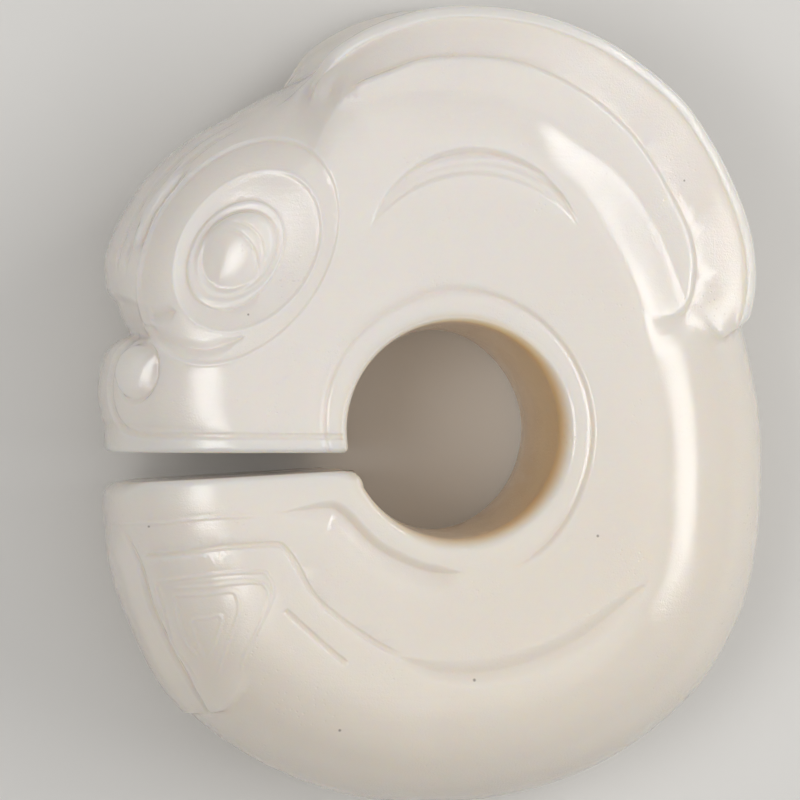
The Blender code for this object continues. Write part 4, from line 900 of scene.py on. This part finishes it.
def polished_nephrite(colours, sizes, shift):
    """Pale nephrite, ground, then buffed with leather: milky, lit from within, waxy and wet-looking."""
    material = bpy.data.materials.new("Polished nephrite")
    material.use_nodes = True
    tree = material.node_tree
    tree.nodes.clear()
    add = partial(tree_node, tree)
    millimetre = 1000.0
    place = add("TexCoord", out="Object")
    # Places are measured from the middle of the hole, halfway between the faces
    centred = add("Mapping", ((place, 0),), in_Location=tuple(-v for v in shift))

    # The stone warms from the milky head towards the back and the belly
    slant = add("VectorMath", ((centred, 0),), 1, operation="DOT_PRODUCT", in_1=(0.45, -0.89, 0.0))
    drift = add("TexNoise", ((centred, 0),), in_Scale=0.11 * millimetre, in_Detail=3.0)
    slant = add("Math", ((slant, 0),), operation="MULTIPLY", in_1=34.0)
    slant = add("Math", ((drift, 0), (slant, 2)), operation="MULTIPLY_ADD", in_1=0.5)
    warmth = add(
        "MapRange", ((slant, 0),), in_From_Min=-0.25, in_From_Max=0.85,
        interpolation_type="SMOOTHSTEP",
    )
    stone = add(
        "Mix", ((warmth, 0),), 2, data_type="RGBA", in_6=(*colours.milk, 1),
        in_7=(*colours.cream, 1),
    )
    # Felted fibres cloud it at about 3 mm
    cloud = add(
        "TexNoise", ((centred, 0),), in_Scale=0.33 * millimetre, in_Detail=5.0, in_Roughness=0.62
    )
    cloud = add("MapRange", ((cloud, 0),), in_From_Min=0.42, in_From_Max=0.72, in_To_Max=0.22)
    stone = add("Mix", ((cloud, 0), (stone, 6)), 2, data_type="RGBA", in_7=(*colours.milk, 1))
    # The wall of the bore is painted warmest, in honey-brown: painted shade in the bore with a painted glow
    # of light through the stone, most of all on the side of the back
    plan = add("VectorMath", ((centred, 0),), operation="MULTIPLY", in_1=(1.0, 1.0, 0.0))
    reach = add("VectorMath", ((plan, 0),), 1, operation="LENGTH")
    bore = add(
        "MapRange", ((reach, 0),), in_From_Min=0.5 * sizes.hole + sizes.flare,
        in_From_Max=0.5 * sizes.hole + 0.0013, in_To_Min=0.9, in_To_Max=0.0, interpolation_type="SMOOTHSTEP",
    )
    across = add("SeparateXYZ", ((centred, 0),), "X")
    # The painted glow grows from a quarter at the snout's side of the bore to full at the back's side
    glow_towards_back = add(
        "MapRange", ((across, 0),), in_From_Min=-0.004, in_From_Max=0.005, in_To_Min=0.25
    )
    bore = add("Math", ((bore, 0), (glow_towards_back, 1)), operation="MULTIPLY")
    stone = add("Mix", ((bore, 0), (stone, 6)), 2, data_type="RGBA", in_7=(*colours.bore_shade_and_glow, 1))
    # The dark grains show on the near face alone
    up = add("SeparateXYZ", ((centred, 0),), "Z")
    near_face = add("Math", ((up, 0),), operation="GREATER_THAN", in_1=0.15 * sizes.thickness)
    for (x, y), radius in FLECKS:
        off = add(
            "VectorMath", ((plan, 0),), 1, operation="DISTANCE",
            in_1=(x * sizes.height, y * sizes.height, 0.0),
        )
        spot = add(
            "MapRange", ((off, 0),), in_From_Min=0.6 * radius / millimetre,
            in_From_Max=1.6 * radius / millimetre, in_To_Min=0.60, in_To_Max=0.0,
        )
        spot = add("Math", ((spot, 0), (near_face, 1)), operation="MULTIPLY")
        stone = add("Mix", ((spot, 0), (stone, 6)), 2, data_type="RGBA", in_7=(*colours.fleck, 1))

    # The polish leaves an orange-peel grain of about 0.1 mm, deeper in some patches than in others
    grain = add(
        "TexNoise", ((centred, 0),), in_Scale=8.0 * millimetre, in_Detail=2.0, in_Roughness=0.6
    )
    patch = add("TexNoise", ((centred, 0),), in_Scale=0.16 * millimetre, in_Detail=2.0)
    patch = add("MapRange", ((patch, 0),), in_From_Min=0.42, in_From_Max=0.62, in_To_Min=0.2)
    grain = add("Math", ((grain, 0), (patch, 1)), operation="MULTIPLY")
    peel = add("Bump", ((grain, "Height"),), in_Strength=1.0, in_Distance=0.000028)
    # Strokes of the buffing stick along X, about 0.3 mm wide and 4 mm long
    drawn = add("Mapping", ((centred, 0),), in_Scale=(0.08, 1.0, 0.5))
    strokes = add("TexNoise", ((drawn, 0),), in_Scale=3.2 * millimetre, in_Detail=1.0)
    peel = add(
        "Bump", ((strokes, "Height"), (peel, "Normal")), in_Strength=0.30, in_Distance=0.00003
    )
    # Pinholes 0.1 to 0.2 mm wide that the polish never reached, about 0.4 mm apart, in drifts
    cells = add("TexVoronoi", ((centred, 0),), in_Scale=2.6 * millimetre, in_Randomness=1.0)
    pin = add("MapRange", ((cells, 0),), in_From_Min=0.10, in_From_Max=0.26)
    drifts = add("TexNoise", ((centred, 0),), in_Scale=0.30 * millimetre, in_Detail=4.0)
    drifts = add("MapRange", ((drifts, 0),), in_From_Min=0.54, in_From_Max=0.68)
    pin = add("Mix", ((drifts, 0), (pin, 3)), in_2=1.0)
    peel = add("Bump", ((pin, "Height"), (peel, "Normal")), in_Strength=0.7, in_Distance=0.00003)
    # The gloss changes a little over each millimetre, so that highlights have an uneven edge
    scuff = add(
        "TexNoise", ((centred, 0),), in_Scale=0.9 * millimetre, in_Detail=6.0, in_Roughness=0.7
    )
    gloss = add(
        "MapRange", ((scuff, 0),), in_From_Min=0.35, in_From_Max=0.75,
        in_To_Min=colours.polish - 0.03, in_To_Max=colours.polish + 0.08,
    )
    shader = add(
        "BsdfPrincipled", ((stone, "Base Color"), (gloss, "Roughness"), (peel, "Normal")),
        subsurface_method="RANDOM_WALK", in_IOR=1.61, in_Subsurface_Weight=1.0,
        in_Subsurface_Radius=(1.0, 0.82, 0.55), in_Subsurface_Scale=0.0022,
    )
    add("OutputMaterial", ((shader, "Surface"),))
    return material


def matt_paper(colour):
    """Pale background paper: flat and even, with no shine."""
    material = bpy.data.materials.new("Background paper")
    material.use_nodes = True
    shader = material.node_tree.nodes["Principled BSDF"]
    shader.inputs["Base Color"].default_value = (*colour, 1)
    shader.inputs["Roughness"].default_value = 0.9
    return material


def add_softbox(name, azimuth, elevation, wide, tall, distance, power):
    """A rectangular light aimed at the pendant. Azimuth 0 is straight above it, positive to the
    right, and elevation tips it towards the ears."""
    light = bpy.data.lights.new(name, "AREA")
    light.shape = "RECTANGLE"
    light.size, light.size_y = wide, tall
    light.energy = power
    lamp = bpy.data.objects.new(name, light)
    bpy.context.collection.objects.link(lamp)
    turn, rise = math.radians(azimuth), math.radians(elevation)
    away = Vector((math.sin(turn) * math.cos(rise), math.sin(rise), math.cos(turn) * math.cos(rise)))
    side = Vector((0, 1, 0)).cross(away).normalized()
    lamp.rotation_euler = Matrix((side, away.cross(side), away)).transposed().to_euler()
    lamp.location = away * distance


class PENDANT_OT_carve(bpy.types.Operator):
    """Carve the pig dragon from its sizes and polish it"""

    bl_idname = "pendant.carve"
    bl_label = "Carve the pig dragon"

    def execute(self, context):
        sizes = context.scene.pendant_sizes
        colours = context.scene.stone_colours
        rows, hole_middle = Carving(sizes).surface()
        rows_around, steps = rows.shape[:2]
        bpy.ops.object.select_all(action="DESELECT")
        bpy.ops.mesh.primitive_grid_add(x_subdivisions=steps, y_subdivisions=rows_around - 1, size=0.05)
        stone = context.object
        stone.name = stone.data.name = "carved_stone"
        places = np.concatenate([rows, rows[:, :1]], axis=1)
        stone.data.vertices.foreach_set("co", places.astype(np.float32).ravel())
        bpy.ops.object.mode_set(mode="EDIT")
        bpy.ops.mesh.select_all(action="SELECT")
        bpy.ops.mesh.remove_doubles(threshold=0.000001)
        bpy.ops.mesh.normals_make_consistent(inside=False)
        bpy.ops.object.mode_set(mode="OBJECT")
        bpy.ops.object.shade_smooth()

        count = len(stone.data.vertices)
        spots, ways = np.empty(count * 3), np.empty(count * 3)
        stone.data.vertices.foreach_get("co", spots)
        stone.data.vertex_normals.foreach_get("vector", ways)
        spots, ways = spots.reshape(-1, 3), ways.reshape(-1, 3)
        tree = KDTree(count)
        for index, spot in enumerate(spots):
            tree.insert(spot, index)
        tree.balance()

        thin = stone.modifiers.new("Thin to the form", "DECIMATE")
        thin.ratio = sizes.triangles / (2 * len(stone.data.polygons))
        bpy.ops.object.modifier_apply(modifier=thin.name)
        # Each corner keeps the direction that the full surface has there, so that highlights stay even
        normals = []
        for vertex in stone.data.vertices:
            way = Vector((0, 0, 0))
            for _, index, distance in tree.find_n(vertex.co, 3):
                way += Vector(ways[index]) / (distance + 1e-7)
            normals.append(way.normalized())
        stone.data.normals_split_custom_set_from_vertices(normals)

        stone.data.materials.clear()
        stone.data.materials.append(polished_nephrite(colours, sizes, hole_middle))
        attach(stone, "root")
        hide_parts("pig_dragon")
        return {"FINISHED"}


class PENDANT_OT_stage(bpy.types.Operator):
    """Set the floor, the softboxes and the camera"""

    bl_idname = "pendant.stage"
    bl_label = "Set the stage"

    def execute(self, context):
        studio = context.scene.studio_light
        bpy.ops.object.select_all(action="DESELECT")
        bpy.ops.mesh.primitive_plane_add(size=3.0, location=(0, 0, 0))
        floor = context.object
        floor.name = "floor"
        floor.data.materials.append(matt_paper(studio.floor))

        for name, azimuth, elevation, wide, tall, distance, power in SOFTBOXES:
            add_softbox(name, azimuth, elevation, wide, tall, distance, getattr(studio, power))
        world = bpy.data.worlds.new("Room")
        world.use_nodes = True
        world.node_tree.nodes["Background"].inputs[0].default_value = (1.0, 1.0, 1.0, 1.0)
        world.node_tree.nodes["Background"].inputs[1].default_value = studio.sky
        context.scene.world = world
        context.scene.view_settings.view_transform = "Standard"

        # The photograph looks at the near face from 8 degrees towards the snout. Its distance isn't
        # known, and 0.42 m is a usual one for a piece of this size
        turn = math.radians(8.0)
        distance = 0.42
        view_width = 0.0554
        aim = Vector((-0.00218, 0.00022, 0.0095))
        camera = bpy.data.objects.new("photo_camera", bpy.data.cameras.new("photo_camera"))
        context.collection.objects.link(camera)
        camera.location = aim + distance * Vector((-math.sin(turn), 0.0, math.cos(turn)))
        camera.rotation_euler = (0.0, -turn, 0.0)
        camera.data.sensor_width = 36.0
        camera.data.lens = 36.0 * distance / view_width
        camera.data.clip_start = 0.01
        context.scene.camera = camera
        return {"FINISHED"}


class PENDANT_PT_panel(bpy.types.Panel):
    """Steps that make the pendant"""

    bl_label = "Pig dragon pendant"
    bl_idname = "PENDANT_PT_panel"
    bl_space_type = "VIEW_3D"
    bl_region_type = "UI"
    bl_category = "Pendant"

    def draw(self, context):
        for group in (context.scene.pendant_sizes, context.scene.stone_colours, context.scene.studio_light):
            box = self.layout.box()
            for name in group.__annotations__:
                box.prop(group, name)
        self.layout.operator("pendant.carve")
        self.layout.operator("pendant.stage")


CLASSES = (PendantSizes, StoneColours, StudioLight, PENDANT_OT_carve, PENDANT_OT_stage, PENDANT_PT_panel)


def register():
    for cls in CLASSES:
        bpy.utils.register_class(cls)
    bpy.types.Scene.pendant_sizes = PointerProperty(type=PendantSizes)
    bpy.types.Scene.stone_colours = PointerProperty(type=StoneColours)
    bpy.types.Scene.studio_light = PointerProperty(type=StudioLight)


def unregister():
    del bpy.types.Scene.studio_light
    del bpy.types.Scene.stone_colours
    del bpy.types.Scene.pendant_sizes
    for cls in reversed(CLASSES):
        bpy.utils.unregister_class(cls)


def main():
    register()
    bpy.ops.pendant.carve()
    bpy.ops.pendant.stage()


if __name__ == "__main__":
    main()
